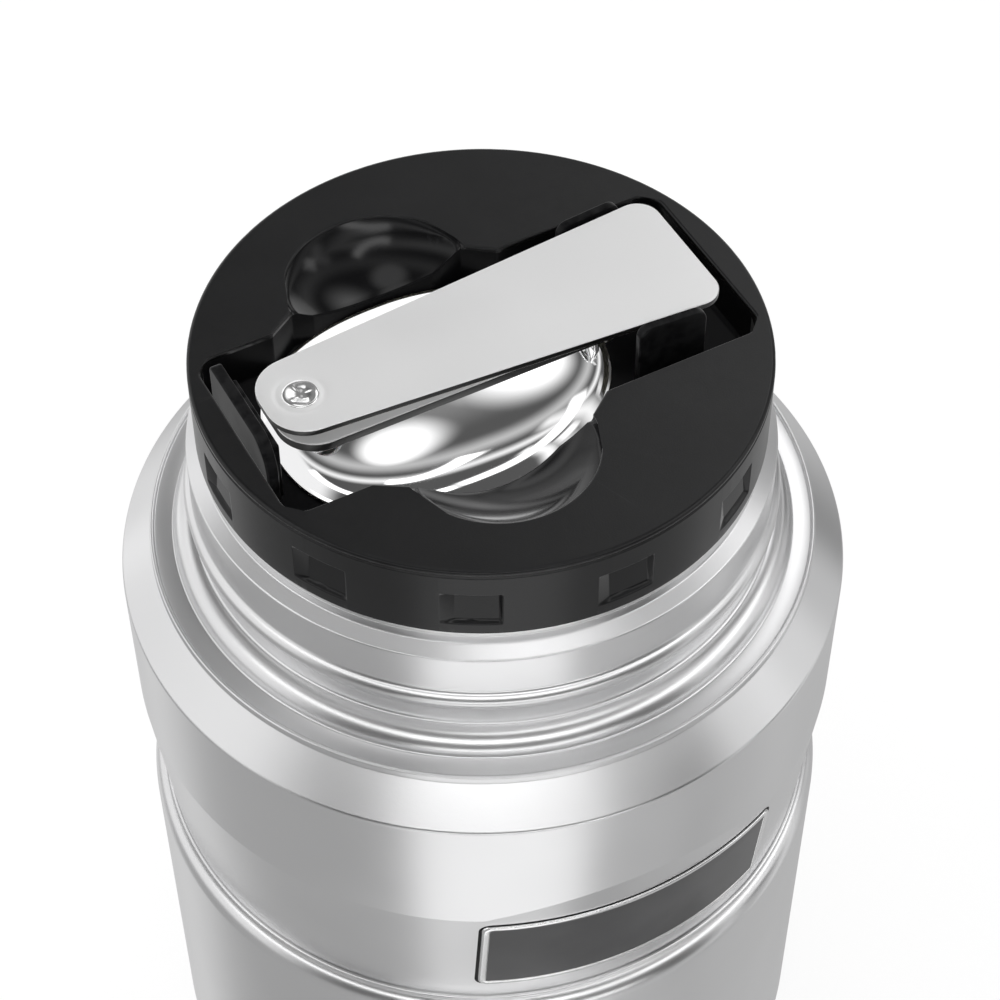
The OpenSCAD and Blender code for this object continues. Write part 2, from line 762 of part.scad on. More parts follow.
module handle_rivet() {
    color("white")
        difference() {
            rivet(rivet_x, z_link - flat_gap - tail_h, z_spoon + head_h, head_r, head_h);
            translate([rivet_x, 0, z_spoon + head_h + 0.75]) sphere(r = 1.2);
        }
}

module handle_washer() {
    color("white") washer(rivet_x, z_link + link_t + flat_gap, z_handle);
}

outer_shell();
inner_vessel();
radiation_foil();
outer_bottom();
vacuum_seal();
getter_capsule();
base_cover();
badge_frame();
badge_inlay();
stopper_cap();
spoon_tray();
plug_body();
foam_insulation();
plug_bottom();
seal_ring();
spoon_bowl();
link_rivet();
link_washer();
spoon_link();
spoon_handle();
handle_rivet();
handle_washer();
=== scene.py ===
"""Dressed model of an insulated food jar with a folding spoon in its stopper.

Sizes inside the classes are millimetres in the part's own frame: the jar stands on z = 0,
+X runs along the folded spoon and the badge faces -Y.
"""

import logging
import math
from dataclasses import dataclass, field
from enum import Enum
from typing import Callable, Iterable, Sequence, Union

import bmesh
import bpy
from mathutils import Matrix, Vector
from mathutils.geometry import delaunay_2d_cdt


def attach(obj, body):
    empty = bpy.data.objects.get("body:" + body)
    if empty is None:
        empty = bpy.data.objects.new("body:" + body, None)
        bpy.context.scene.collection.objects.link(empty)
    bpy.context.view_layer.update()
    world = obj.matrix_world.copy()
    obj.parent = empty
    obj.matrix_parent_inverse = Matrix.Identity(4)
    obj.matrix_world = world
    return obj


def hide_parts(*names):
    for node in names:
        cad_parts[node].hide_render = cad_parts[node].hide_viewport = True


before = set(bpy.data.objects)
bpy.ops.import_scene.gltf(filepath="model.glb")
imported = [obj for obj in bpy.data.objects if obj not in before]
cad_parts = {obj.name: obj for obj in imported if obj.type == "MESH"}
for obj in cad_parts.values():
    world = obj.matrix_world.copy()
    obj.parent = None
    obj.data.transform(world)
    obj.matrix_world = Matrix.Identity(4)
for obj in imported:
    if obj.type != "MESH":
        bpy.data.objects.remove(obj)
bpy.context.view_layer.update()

LOG = logging.getLogger("food_jar")
MM = 0.001
AXIS = 1e-7  # Radius of a profile's point that lies on the axis, and the width at which points merge.

Point2 = tuple[float, float]
Point3 = tuple[float, float, float]
Verts = list[bmesh.types.BMVert]


# --------------------------------------------------------------------------- curves


def arc(centre: Point2, rx: float, ry: float, start: float, end: float, steps: int = 8) -> list[Point2]:
    """Points along an elliptical arc.

    Args:
        centre: Centre of the ellipse.
        rx: Half width.
        ry: Half height.
        start: First angle in degrees.
        end: Last angle in degrees.
        steps: Number of pieces.

    Returns:
        The points from start to end.
    """
    angles = (math.radians(start + (end - start) * i / steps) for i in range(steps + 1))
    return [(centre[0] + rx * math.cos(a), centre[1] + ry * math.sin(a)) for a in angles]


def oval(centre: Point2, rx: float, ry: float) -> list[Point2]:
    """Points round an ellipse, counter-clockwise."""
    return arc(centre, rx, ry, 0, 360, 240)[:-1]


def circle(centre: Point2, radius: float, count: int) -> list[Point2]:
    """Points round a circle, counter-clockwise."""
    angles = [2 * math.pi * i / count for i in range(count)]
    return [(centre[0] + radius * math.cos(a), centre[1] + radius * math.sin(a)) for a in angles]


SIDE_SHARE = 0.45  # Largest share of a side that the rounding at either end may take.
STRAIGHT = math.radians(179)  # A corner that turns less than this leaves counts as straight.


def filleted(corners: Sequence[Point3], steps: int = 5) -> list[Point2]:
    """Rounds the corners of an open line.

    Args:
        corners: (x, y, radius) of each corner; a radius of 0 keeps it sharp.
        steps: Pieces in each rounding.

    Returns:
        The rounded line.
    """
    line: list[Point2] = []
    for i, (x, y, radius) in enumerate(corners):
        if radius <= 0 or i in (0, len(corners) - 1):
            line.append((x, y))
            continue
        here = Vector((x, y))
        back = Vector(corners[i - 1][:2]) - here
        ahead = Vector(corners[i + 1][:2]) - here
        turn = back.angle(ahead)
        room = SIDE_SHARE * min(back.length, ahead.length)
        if turn > STRAIGHT:
            for k in range(steps + 1):
                side = back if 2 * k < steps else ahead
                spot = here + side.normalized() * min(radius, room) * abs(2 * k / steps - 1)
                line.append((spot.x, spot.y))
            continue
        taken = min(radius / math.tan(turn / 2), room)
        radius = taken * math.tan(turn / 2)
        inward = (back.normalized() + ahead.normalized()).normalized()
        middle = here + inward * (radius / math.sin(turn / 2))
        first = here + back.normalized() * taken - middle
        last = here + ahead.normalized() * taken - middle
        sweep = first.angle_signed(last)
        for k in range(steps + 1):
            spun = Matrix.Rotation(-sweep * k / steps, 2) @ first
            line.append((middle.x + spun.x, middle.y + spun.y))
    return line


def bar_outline(
    x0: float, w0: float, r0: float, x1: float, w1: float, r1: float, steps: int = 12,
) -> list[Point2]:
    """Outline of a bar that may taper, with rounded corners, symmetric about the x axis.

    Args:
        x0: Left end.
        w0: Half width at the left end.
        r0: Corner radius at the left end.
        x1: Right end.
        w1: Half width at the right end.
        r1: Corner radius at the right end.
        steps: Pieces in each corner.

    Returns:
        A closed outline, counter-clockwise.
    """
    slope = math.atan((w1 - w0) / (x1 - x0))
    tilt = math.degrees(slope)
    c0 = (x0 + r0, w0 + r0 * math.tan(slope) - r0 / math.cos(slope))
    c1 = (x1 - r1, w1 - r1 * math.tan(slope) - r1 / math.cos(slope))
    top = arc(c0, r0, r0, 180, 90 + tilt, steps) + arc(c1, r1, r1, 90 + tilt, 0, steps)
    low = [(x, -y) for x, y in reversed(top)]
    return list(reversed(top + low))


def smooth(x: float) -> float:
    """Eases 0 to 1 with flat ends."""
    x = min(1.0, max(0.0, x))
    return x * x * (3 - 2 * x)


def dense(line: Sequence[Point2], step: float = 3.0) -> list[Point2]:
    """Adds points to an open line, so that its pieces are short.

    Args:
        line: The line.
        step: Length that no piece exceeds.

    Returns:
        The line with its new points.
    """
    out: list[Point2] = [line[0]]
    for (x0, y0), (x1, y1) in zip(line, line[1:]):
        parts = max(1, math.ceil(math.hypot(x1 - x0, y1 - y0) / step))
        out += [(x0 + (x1 - x0) * k / parts, y0 + (y1 - y0) * k / parts) for k in range(1, parts + 1)]
    return out


def dense_loop(outline: Sequence[Point2], step: float) -> list[Point2]:
    """Adds points to a closed outline."""
    return dense([*outline, outline[0]], step)[:-1]


SAME_SPOT = 1e-9  # Points closer than this are one.
SHARPEST = 0.4  # Least cosine that a corner is moved by, so that a sharp one doesn't run away.


def inset(outline: Sequence[Point2], amount: float) -> list[Point2]:
    """Moves a closed counter-clockwise outline inwards along its own normals.

    Args:
        outline: The outline.
        amount: Distance that its sides move.

    Returns:
        As many points as the outline has.
    """
    out = []
    for before, here, after in zip([outline[-1], *outline], outline, [*outline[1:], outline[0]]):
        a = Vector((here[0] - before[0], here[1] - before[1]))
        b = Vector((after[0] - here[0], after[1] - here[1]))
        if min(a.length, b.length) < SAME_SPOT:
            out.append(here)
            continue
        a.normalize()
        b.normalize()
        square = Vector((-a.y, a.x))
        n = (square + Vector((-b.y, b.x))).normalized()
        far = amount / max(SHARPEST, n.dot(square))
        out.append((here[0] + n.x * far, here[1] + n.y * far))
    return out


def reach(outline: Sequence[Point2], centre: Point2, angles: Sequence[float]) -> list[float]:
    """Distance from a point to the far side of a closed outline, in each direction.

    Args:
        outline: The closed outline.
        centre: The point.
        angles: Directions in radians.

    Returns:
        One distance a direction, 0 where the ray misses.
    """
    out = []
    pairs = [(a[0] - centre[0], a[1] - centre[1], b[0] - centre[0], b[1] - centre[1])
             for a, b in zip(outline, [*outline[1:], outline[0]])]
    for angle in angles:
        c, s = math.cos(angle), math.sin(angle)
        best = 0.0
        for ax, ay, bx, by in pairs:
            sa, sb = c * ay - s * ax, c * by - s * bx
            if (sa > 0) == (sb > 0) or sa == sb:
                continue
            t = sa / (sa - sb)
            best = max(best, c * (ax + (bx - ax) * t) + s * (ay + (by - ay) * t))
        out.append(best)
    return out


# --------------------------------------------------------------------------- meshes


def finish_mesh(name: str, work: bmesh.types.BMesh, weighted: bool = True) -> bpy.types.Object:
    """Turns a bmesh into a smooth-shaded object.

    Args:
        name: Name of the object.
        work: The mesh, in millimetres; it is freed.
        weighted: Whether large faces keep their own normals.

    Returns:
        The new object, linked to the scene.
    """
    bmesh.ops.scale(work, vec=(MM, MM, MM), verts=work.verts)
    mesh = bpy.data.meshes.new(name)
    for face in work.faces:
        face.smooth = True
    work.to_mesh(mesh)
    work.free()
    made = bpy.data.objects.new(name, mesh)
    bpy.context.scene.collection.objects.link(made)
    if weighted:
        normals = made.modifiers.new("weighted_normals", "WEIGHTED_NORMAL")
        normals.keep_sharp = True
        normals.weight = 60
    return made


def finish_solid(name: str, work: bmesh.types.BMesh) -> bpy.types.Object:
    """Turns a bmesh's faces outwards, and it into an object."""
    bmesh.ops.recalc_face_normals(work, faces=work.faces)
    return finish_mesh(name, work)


def skin(work: bmesh.types.BMesh, rings: Sequence[Verts], closed: bool = True) -> None:
    """Joins rings of equal length with quads.

    Args:
        work: Mesh that holds the vertices.
        rings: Rows of vertices.
        closed: Whether each row joins its own start.
    """
    for low, high in zip(rings, rings[1:]):
        count = len(low)
        for i in range(count if closed else count - 1):
            j = (i + 1) % count
            corners = list(dict.fromkeys((low[i], low[j], high[j], high[i])))
            if len(corners) > 2:
                work.faces.new(corners)


def meridian(
    work: bmesh.types.BMesh, profile: Sequence[Point2], angle: float, middle: Point2 = (0, 0),
) -> Verts:
    """Adds a (radius, height) profile at an angle round an upright axis.

    Args:
        work: Mesh that receives it.
        profile: The profile.
        angle: Angle in radians.
        middle: Place of the axis.

    Returns:
        Its vertices.
    """
    c, s = math.cos(angle), math.sin(angle)
    return [work.verts.new((middle[0] + r * c, middle[1] + r * s, z)) for r, z in profile]


def lathe(
    name: str, column: Callable[[float], Sequence[Point2]], segments: int = 256, closed_profile: bool = False,
) -> bpy.types.Object:
    """Turns a profile about the z axis; the profile may change with the angle.

    Args:
        name: Name of the object.
        column: Gives the (r, z) profile at an angle in radians; every column has as many points.
        segments: Columns round the axis.
        closed_profile: Whether the last point joins the first.

    Returns:
        The turned object.
    """
    work = bmesh.new()
    columns = []
    poles: dict[int, bmesh.types.BMVert] = {}
    for k in range(segments):
        angle = 2 * math.pi * k / segments
        row = []
        for i, (r, z) in enumerate(column(angle)):
            if r <= AXIS:
                if i not in poles:
                    poles[i] = work.verts.new((0, 0, z))
                row.append(poles[i])
            else:
                row += meridian(work, [(r, z)], angle)
        if closed_profile:
            row.append(row[0])
        columns.append(row)
    skin(work, [*columns, columns[0]], closed=False)
    return finish_solid(name, work)


def turned_solid(name: str, outline: Sequence[Point2], segments: int = 192) -> bpy.types.Object:
    """Turns a closed (r, z) outline about the z axis."""
    return lathe(name, lambda angle: outline, segments, closed_profile=True)


def turned_disc(name: str, outline: Sequence[Point2], segments: int = 192) -> bpy.types.Object:
    """Turns an (r, z) line that starts and ends on the z axis."""
    return lathe(name, lambda angle: outline, segments)


INSIDE = 1  # Triangles that delaunay_2d_cdt gives: all inside the borders, those of the holes among them.


def fill(
    work: bmesh.types.BMesh, loops: Sequence[Verts], loose: Sequence[Point2], solid: Callable[[Vector], bool],
    upward: bool = True,
) -> Verts:
    """Fills the flat face between loops of vertices with triangles.

    Args:
        work: Mesh that holds the loops.
        loops: The face's border, then the borders of its holes.
        loose: Further points inside the face.
        solid: Tells whether a point lies in the face.
        upward: Whether the face looks up.

    Returns:
        Every vertex of the face.
    """
    known = [vert for loop in loops for vert in loop]
    edges: list[tuple[int, int]] = []
    for loop in loops:
        first = len(edges)
        edges += [(first + i, first + (i + 1) % len(loop)) for i in range(len(loop))]
    points = [Vector(vert.co.xy) for vert in known] + [Vector(point) for point in loose]
    spots, _, faces, origin, _, _ = delaunay_2d_cdt(points, edges, [], INSIDE, AXIS)
    height = known[0].co.z
    placed = []
    for spot, source in zip(spots, origin):
        old = source and source[0] < len(known)
        placed.append(known[source[0]] if old else work.verts.new((spot.x, spot.y, height)))
    for face in faces:
        if solid(sum((spots[i] for i in face), Vector((0, 0))) / len(face)):
            corners = [placed[i] for i in face]
            work.faces.new(corners if upward else corners[::-1])
    return placed


def plate(
    name: str, outline: Sequence[Point2], low: float, high: float, edge: float,
    holes: Sequence[tuple[Point2, float]] = (), relief: Callable[[float, float], float] | None = None,
    rings: Sequence[float] = (),
) -> bpy.types.Object:
    """Flat plate with rounded edges, round holes and a shallow relief on its top.

    Args:
        name: Name of the object.
        outline: Closed counter-clockwise outline.
        low: Lower face.
        high: Upper face.
        edge: Radius of its edges.
        holes: ((x, y), radius) of each hole.
        relief: Height added to the upper face at (x, y).
        rings: Radii of extra rings of points round each hole.

    Returns:
        The plate.
    """
    work = bmesh.new()
    steps, sides = 4, 40

    def level(points: Sequence[Point2], z: float) -> Verts:
        """Adds points at a height."""
        return [work.verts.new((x, y, z)) for x, y in points]

    def solid(spot: Vector) -> bool:
        """Tells whether a point lies outside the holes."""
        flat = math.cos(math.pi / sides)
        return all((spot - Vector(centre)).length >= radius * flat for centre, radius in holes)

    bends = [math.pi / 2 * k / steps for k in range(steps + 1)]
    walls = [level(inset(outline, edge * (1 - math.sin(a))), low + edge * (1 - math.cos(a))) for a in bends]
    walls += [level(inset(outline, edge * (1 - math.cos(a))), high - edge * (1 - math.sin(a))) for a in bends]
    skin(work, walls)
    lower, upper = [walls[0]], [walls[-1]]
    for centre, radius in holes:
        turn = circle(centre, radius, sides)
        lower.append(level(turn, low))
        upper.append(level(turn, high))
        skin(work, [upper[-1], lower[-1]])
    fill(work, lower, [], solid, upward=False)
    loose = [point for centre, _ in holes for radius in rings for point in circle(centre, radius, sides)]
    face = fill(work, upper, loose, solid)
    if relief is not None:
        for vert in set(face):
            vert.co.z += relief(vert.co.x, vert.co.y)
    return finish_solid(name, work)


def shifted(piece: bpy.types.Object, matrix: Matrix) -> bpy.types.Object:
    """Moves a mesh inside its object, so that the object stays at the origin.

    Args:
        piece: The object.
        matrix: The move, in millimetres.

    Returns:
        The same object.
    """
    scaled = matrix.copy()
    scaled.translation = matrix.translation * MM
    piece.data.transform(scaled)
    return piece


@dataclass(frozen=True)
class Thread:
    """Two-start thread of helical ridges with soft ends; sweep, run_out and step are in degrees."""

    root: float
    crest: float
    start: float
    lead: float = 10.0
    sweep: float = 200.0
    root_wide: float = 2.2
    crest_wide: float = 1.2
    run_out: float = 18.0
    step: float = 3.0
    rounding: float = 0.3

    def ridge(self, work: bmesh.types.BMesh, first: float) -> None:
        """Adds one ridge to a mesh.

        Args:
            work: Mesh that receives it.
            first: Angle of its first end, in degrees.
        """
        pieces = round(self.sweep / self.step)
        rows = []
        for k in range(pieces + 1):
            a = self.sweep * k / pieces
            ease = smooth(min(a, self.sweep - a) / self.run_out)
            top = self.root + (self.crest - self.root) * max(0.04, ease)
            z = self.start + self.lead * a / 360
            wide = self.root_wide / 2 * (0.5 + 0.5 * ease)
            narrow = self.crest_wide / 2 * (0.4 + 0.6 * ease)
            section = filleted([(self.root, z - wide, 0), (top, z - narrow, self.rounding),
                                (top, z + narrow, self.rounding), (self.root, z + wide, 0)], 3)
            rows.append(meridian(work, section, math.radians(first + a)))
        skin(work, rows, closed=False)
        for row in (rows[0], rows[-1]):
            work.faces.new(row)

    def build(self, name: str) -> bpy.types.Object:
        """Builds both ridges as one object.

        Args:
            name: Name of the object.

        Returns:
            The thread.
        """
        work = bmesh.new()
        for first in (0, 180):
            self.ridge(work, first)
        return finish_solid(name, work)


# --------------------------------------------------------------------------- shader groups


Feed = Union[bpy.types.NodeSocket, float, Sequence[float]]  # What an input takes: an output or a value.


class Wire:
    """Short hand for building one node tree."""

    def __init__(self, tree: bpy.types.NodeTree) -> None:
        """Keeps the tree."""
        self.tree = tree

    def link(self, output: bpy.types.NodeSocket, socket: bpy.types.NodeSocket) -> None:
        """Joins an output to an input."""
        self.tree.links.new(output, socket)

    def node(
        self, kind: str, inputs: dict[str | int, Feed] | None = None, **settings: object,
    ) -> bpy.types.Node:
        """Adds a node.

        Args:
            kind: Its type, without the ShaderNode prefix.
            inputs: Value or output for each input, by name or number; a colour may leave its alpha out.
            settings: Attributes of the node.

        Returns:
            The node.
        """
        made = self.tree.nodes.new(kind if kind.startswith("Node") else "ShaderNode" + kind)
        for key, value in settings.items():
            setattr(made, key, value)
        for key, value in (inputs or {}).items():
            socket = made.inputs[key]
            if isinstance(value, bpy.types.NodeSocket):
                self.link(value, socket)
            else:
                socket.default_value = (*value, 1.0) if socket.type == "RGBA" and len(value) == 3 else value
        return made

    def math(self, operation: str, *values: Feed) -> bpy.types.NodeSocket:
        """Adds a Math node and returns its output."""
        return self.node("Math", dict(enumerate(values)), operation=operation).outputs[0]

    def vector(self, *values: Feed) -> bpy.types.NodeSocket:
        """Joins x, y and z into a vector and returns it."""
        return self.node("CombineXYZ", dict(enumerate(values))).outputs[0]

    def noise(
        self, vector: Feed, scale: Feed, detail: float = 2.0, rough: float = 0.5, swirl: float = 0.0,
    ) -> bpy.types.NodeSocket:
        """Adds a noise texture and returns its value.

        Args:
            vector: Where it is read.
            scale: Its scale.
            detail: Octaves of finer noise.
            rough: Strength of the finer noise.
            swirl: Distortion.

        Returns:
            The value's output.
        """
        inputs = {"Vector": vector, "Scale": scale, "Detail": detail, "Roughness": rough, "Distortion": swirl}
        return self.node("TexNoise", inputs).outputs[0]

    def span(
        self, value: Feed, low: float, high: float, to_low: float = 0.0, to_high: float = 1.0,
        eased: bool = True,
    ) -> bpy.types.NodeSocket:
        """Maps a range to another, clamped.

        Args:
            value: The value.
            low: Start of its range.
            high: End of its range.
            to_low: What low becomes.
            to_high: What high becomes.
            eased: Whether the ends are flat.

        Returns:
            The new value's output.
        """
        kind = "SMOOTHSTEP" if eased else "LINEAR"
        inputs = {0: value, 1: low, 2: high, 3: to_low, 4: to_high}
        return self.node("MapRange", inputs, clamp=True, interpolation_type=kind).outputs[0]

    def blend(self, factor: Feed, first: Feed, second: Feed) -> bpy.types.NodeSocket:
        """Mixes two colours by a factor and returns the output."""
        return self.node("Mix", {0: factor, 6: first, 7: second}, data_type="RGBA").outputs[2]

    def mixed(self, factor: Feed, first: bpy.types.Node, second: bpy.types.Node) -> bpy.types.Node:
        """Mixes two shaders by a factor."""
        return self.node("MixShader", {0: factor, 1: first.outputs[0], 2: second.outputs[0]})


class Pattern(Enum):
    """Surface effects shared by several finishes."""

    GRAIN = "fine_grain"
    TURNED = "turned_lines"
    WEAR = "edge_wear"
    SMUDGE = "handling_marks"
    CELLS = "foam_cells"


class Patterns:
    """Builds each shared effect once, as a node group."""

    def __init__(self) -> None:
        """Starts with no group built."""
        self.built: dict[Pattern, bpy.types.NodeTree] = {}

    def place(
        self, wire: Wire, pattern: Pattern, place: bpy.types.NodeSocket, **values: float,
    ) -> bpy.types.Node:
        """Puts an effect into a material.

        Args:
            wire: The material's tree.
            pattern: The effect.
            place: Where it is read.
            values: Its other inputs, each under its name.

        Returns:
            The group node.
        """
        if pattern not in self.built:
            self.built[pattern] = getattr(self, "make_" + pattern.name.lower())(pattern.value)
        return wire.node("Group", {"Vector": place, **values}, node_tree=self.built[pattern])

    @staticmethod
    def start(
        name: str, inputs: dict[str, float], outputs: Iterable[str],
    ) -> tuple[Wire, dict[str, bpy.types.NodeSocket], dict[str, bpy.types.NodeSocket]]:
        """Opens a group with its sockets, a vector first.

        Args:
            name: Name of the group.
            inputs: Default of each number that it takes.
            outputs: Names of the numbers that it gives.

        Returns:
            The wire, what comes in, and where the outputs go, by name.
        """
        tree = bpy.data.node_groups.new(name, "ShaderNodeTree")
        tree.interface.new_socket(name="Vector", in_out="INPUT", socket_type="NodeSocketVector")
        for key, value in inputs.items():
            socket = tree.interface.new_socket(name=key, in_out="INPUT", socket_type="NodeSocketFloat")
            socket.default_value = value
        for key in outputs:
            tree.interface.new_socket(name=key, in_out="OUTPUT", socket_type="NodeSocketFloat")
        wire = Wire(tree)
        inner, outer = wire.node("NodeGroupInput"), wire.node("NodeGroupOutput")
        return wire, {s.name: s for s in inner.outputs}, {s.name: s for s in outer.inputs}

    def make_grain(self, name: str) -> bpy.types.NodeTree:
        """Makes a fine pebbled grain: a height and a slow-changing mask.

        Args:
            name: Name of the group.

        Returns:
            The group.
        """
        wire, inner, outer = self.start(name, {"Size": 0.0003, "Patch": 0.02}, ("Height", "Mask"))
        for key, target, detail in (("Size", "Height", 3.0), ("Patch", "Mask", 2.0)):
            noise = wire.noise(inner["Vector"], wire.math("DIVIDE", 1.0, inner[key]), detail, 0.6)
            wire.link(wire.span(noise, 0.3, 0.7), outer[target])
        return wire.tree

    def make_turned(self, name: str) -> bpy.types.NodeTree:
        """Makes the fine lines left by turning about the z axis.

        Args:
            name: Name of the group.

        Returns:
            The group.
        """
        wire, inner, outer = self.start(name, {"Pitch": 0.0002, "Length": 0.03}, ("Height", "Mask"))
        x, y, z = wire.node("SeparateXYZ", {0: inner["Vector"]}).outputs
        radius = wire.math("SQRT", wire.math("ADD", wire.math("MULTIPLY", x, x), wire.math("MULTIPLY", y, y)))
        rise = wire.math("ADD", z, wire.math("MULTIPLY", radius, 1.3))
        across = wire.math("DIVIDE", rise, inner["Pitch"])
        fine = (wire.math("DIVIDE", 1.0, inner["Length"]), across)
        broad = (14.0, wire.math("MULTIPLY", across, 0.04))
        spots = [wire.vector(wire.math("MULTIPLY", x, rate), wire.math("MULTIPLY", y, rate), line)
                 for rate, line in (fine, broad)]
        wire.link(wire.span(wire.noise(spots[0], 1.0, 3.0, 0.65), 0.28, 0.72, eased=False), outer["Height"])
        wire.link(wire.span(wire.noise(spots[1], 1.0), 0.3, 0.7), outer["Mask"])
        return wire.tree

    def make_wear(self, name: str) -> bpy.types.NodeTree:
        """Makes a mask of the edges that hands and cloths have burnished.

        Args:
            name: Name of the group.

        Returns:
            The group.
        """
        wire, inner, outer = self.start(name, {"Size": 0.0015}, ("Mask",))
        edge = wire.span(wire.node("NewGeometry").outputs["Pointiness"], 0.505, 0.56)
        noise = wire.noise(inner["Vector"], wire.math("DIVIDE", 1.0, inner["Size"]), 3.0)
        wire.link(wire.math("MULTIPLY", edge, wire.span(noise, 0.3, 0.65)), outer["Mask"])
        return wire.tree

    def make_smudge(self, name: str) -> bpy.types.NodeTree:
        """Makes broad, faint marks of handling, with a few fine scratches.

        Args:
            name: Name of the group.

        Returns:
            The group.
        """
        wire, inner, outer = self.start(name, {"Size": 0.018}, ("Mask", "Scratches"))
        rate = wire.math("DIVIDE", 1.0, inner["Size"])
        cloud = wire.noise(inner["Vector"], rate, 4.0)
        wire.link(wire.span(cloud, 0.35, 0.7), outer["Mask"])
        swirl = wire.noise(inner["Vector"], wire.math("MULTIPLY", rate, 0.7), 1.0, swirl=2.5)
        wave = wire.math("FRACT", wire.math("MULTIPLY", swirl, 9.0))
        line = wire.span(wire.math("ABSOLUTE", wire.math("SUBTRACT", wave, 0.5)), 0.012, 0.0)
        wire.link(wire.math("MULTIPLY", line, wire.span(cloud, 0.5, 0.62)), outer["Scratches"])
        return wire.tree

    def make_cells(self, name: str) -> bpy.types.NodeTree:
        """Makes the open cells of a foam.

        Args:
            name: Name of the group.

        Returns:
            The group.
        """
        wire, inner, outer = self.start(name, {"Size": 0.0008}, ("Height", "Mask"))
        rate = wire.math("DIVIDE", 1.0, inner["Size"])
        cell = wire.node("TexVoronoi", {"Vector": inner["Vector"], "Scale": rate}, feature="F1")
        wire.link(wire.span(cell.outputs[0], 0.1, 0.6), outer["Height"])
        tint = wire.noise(inner["Vector"], wire.math("MULTIPLY", rate, 0.08))
        wire.link(wire.span(tint, 0.3, 0.7), outer["Mask"])
        return wire.tree


PATTERNS = Patterns()


# --------------------------------------------------------------------------- finishes


Colour = tuple[float, float, float]


def grey(value: float) -> Colour:
    """Neutral colour of a lightness."""
    return (value, value, value)


@dataclass(frozen=True)
class Finish:
    """What every finish has: a colour and a roughness that drift a little, and a fine relief.

    grain is the size of the relief's bumps or lines and depth their height, in metres; relief is
    their strength.
    """

    name: str
    dark: Colour
    light: Colour
    rough: Point2
    grain: float
    relief: float
    depth: float = 0.00001

    def make(self) -> bpy.types.Material:
        """Builds the material.

        Returns:
            The material.
        """
        material = bpy.data.materials.new(self.name)
        material.use_nodes = True
        material.node_tree.nodes.clear()
        wire = Wire(material.node_tree)
        shader = wire.node("BsdfPrincipled")
        wire.link(shader.outputs[0], wire.node("OutputMaterial").inputs[0])
        self.dress(wire, shader, wire.node("TexCoord").outputs["Object"])
        return material

    def dress(self, wire: Wire, shader: bpy.types.Node, place: bpy.types.NodeSocket) -> None:
        """Wires the finish into the shader; each kind of finish has its own way."""
        raise NotImplementedError

    def tint(self, wire: Wire, mask: bpy.types.NodeSocket) -> bpy.types.NodeSocket:
        """Blends the two colours by a mask."""
        return wire.blend(mask, self.dark, self.light)

    def feed(
        self, wire: Wire, shader: bpy.types.Node, colour: bpy.types.NodeSocket, mask: bpy.types.NodeSocket,
        height: bpy.types.NodeSocket,
    ) -> None:
        """Feeds the shader.

        Args:
            wire: The material's tree.
            shader: The shader.
            colour: Its colour.
            mask: Where it is rough.
            height: The relief.
        """
        bump = wire.node("Bump", {"Strength": self.relief, "Distance": self.depth, "Height": height})
        wire.link(colour, shader.inputs["Base Color"])
        wire.link(wire.span(mask, 0.0, 1.0, *self.rough), shader.inputs["Roughness"])
        wire.link(bump.outputs[0], shader.inputs["Normal"])


@dataclass(frozen=True)
class SatinSteel(Finish):
    """Stainless steel with a fine blasted face."""

    metal: float = 1.0

    def dress(self, wire: Wire, shader: bpy.types.Node, place: bpy.types.NodeSocket) -> None:
        """Adds a fine grain over a broad, faint clouding.

        Args:
            wire: The material's tree.
            shader: Its shader.
            place: Where the patterns are read.
        """
        shader.inputs["Metallic"].default_value = self.metal
        grain = PATTERNS.place(wire, Pattern.GRAIN, place, Size=self.grain, Patch=0.03).outputs
        marks = PATTERNS.place(wire, Pattern.SMUDGE, place, Size=0.03).outputs
        self.feed(wire, shader, self.tint(wire, grain["Mask"]), marks["Mask"], grain["Height"])


@dataclass(frozen=True)
class TurnedSteel(Finish):
    """Stainless steel polished on a lathe or a wheel."""

    length: float = 0.03

    def dress(self, wire: Wire, shader: bpy.types.Node, place: bpy.types.NodeSocket) -> None:
        """Adds lines round the axis, with scratches.

        Args:
            wire: The material's tree.
            shader: Its shader.
            place: Where the patterns are read.
        """
        shader.inputs["Metallic"].default_value = 1.0
        lines = PATTERNS.place(wire, Pattern.TURNED, place, Pitch=self.grain, Length=self.length).outputs
        marks = PATTERNS.place(wire, Pattern.SMUDGE, place, Size=0.012).outputs
        height = wire.math("ADD", lines["Height"], marks["Scratches"])
        self.feed(wire, shader, self.tint(wire, lines["Mask"]), marks["Mask"], height)


@dataclass(frozen=True)
class Moulded(Finish):
    """Injection-moulded plastic with burnished edges."""

    worn: Colour = (0.09, 0.09, 0.095)
    gloss: float = 0.5

    def dress(self, wire: Wire, shader: bpy.types.Node, place: bpy.types.NodeSocket) -> None:
        """Adds moulded grain, handling marks and lighter edges.

        Args:
            wire: The material's tree.
            shader: Its shader.
            place: Where the patterns are read.
        """
        shader.inputs["Specular IOR Level"].default_value = self.gloss
        grain = PATTERNS.place(wire, Pattern.GRAIN, place, Size=self.grain, Patch=0.015).outputs
        marks = PATTERNS.place(wire, Pattern.SMUDGE, place, Size=0.02).outputs
        wear = PATTERNS.place(wire, Pattern.WEAR, place).outputs
        base = self.tint(wire, grain["Mask"])
        colour = wire.blend(wire.math("MULTIPLY", wear["Mask"], 0.5), base, self.worn)
        self.feed(wire, shader, colour, marks["Mask"], grain["Height"])


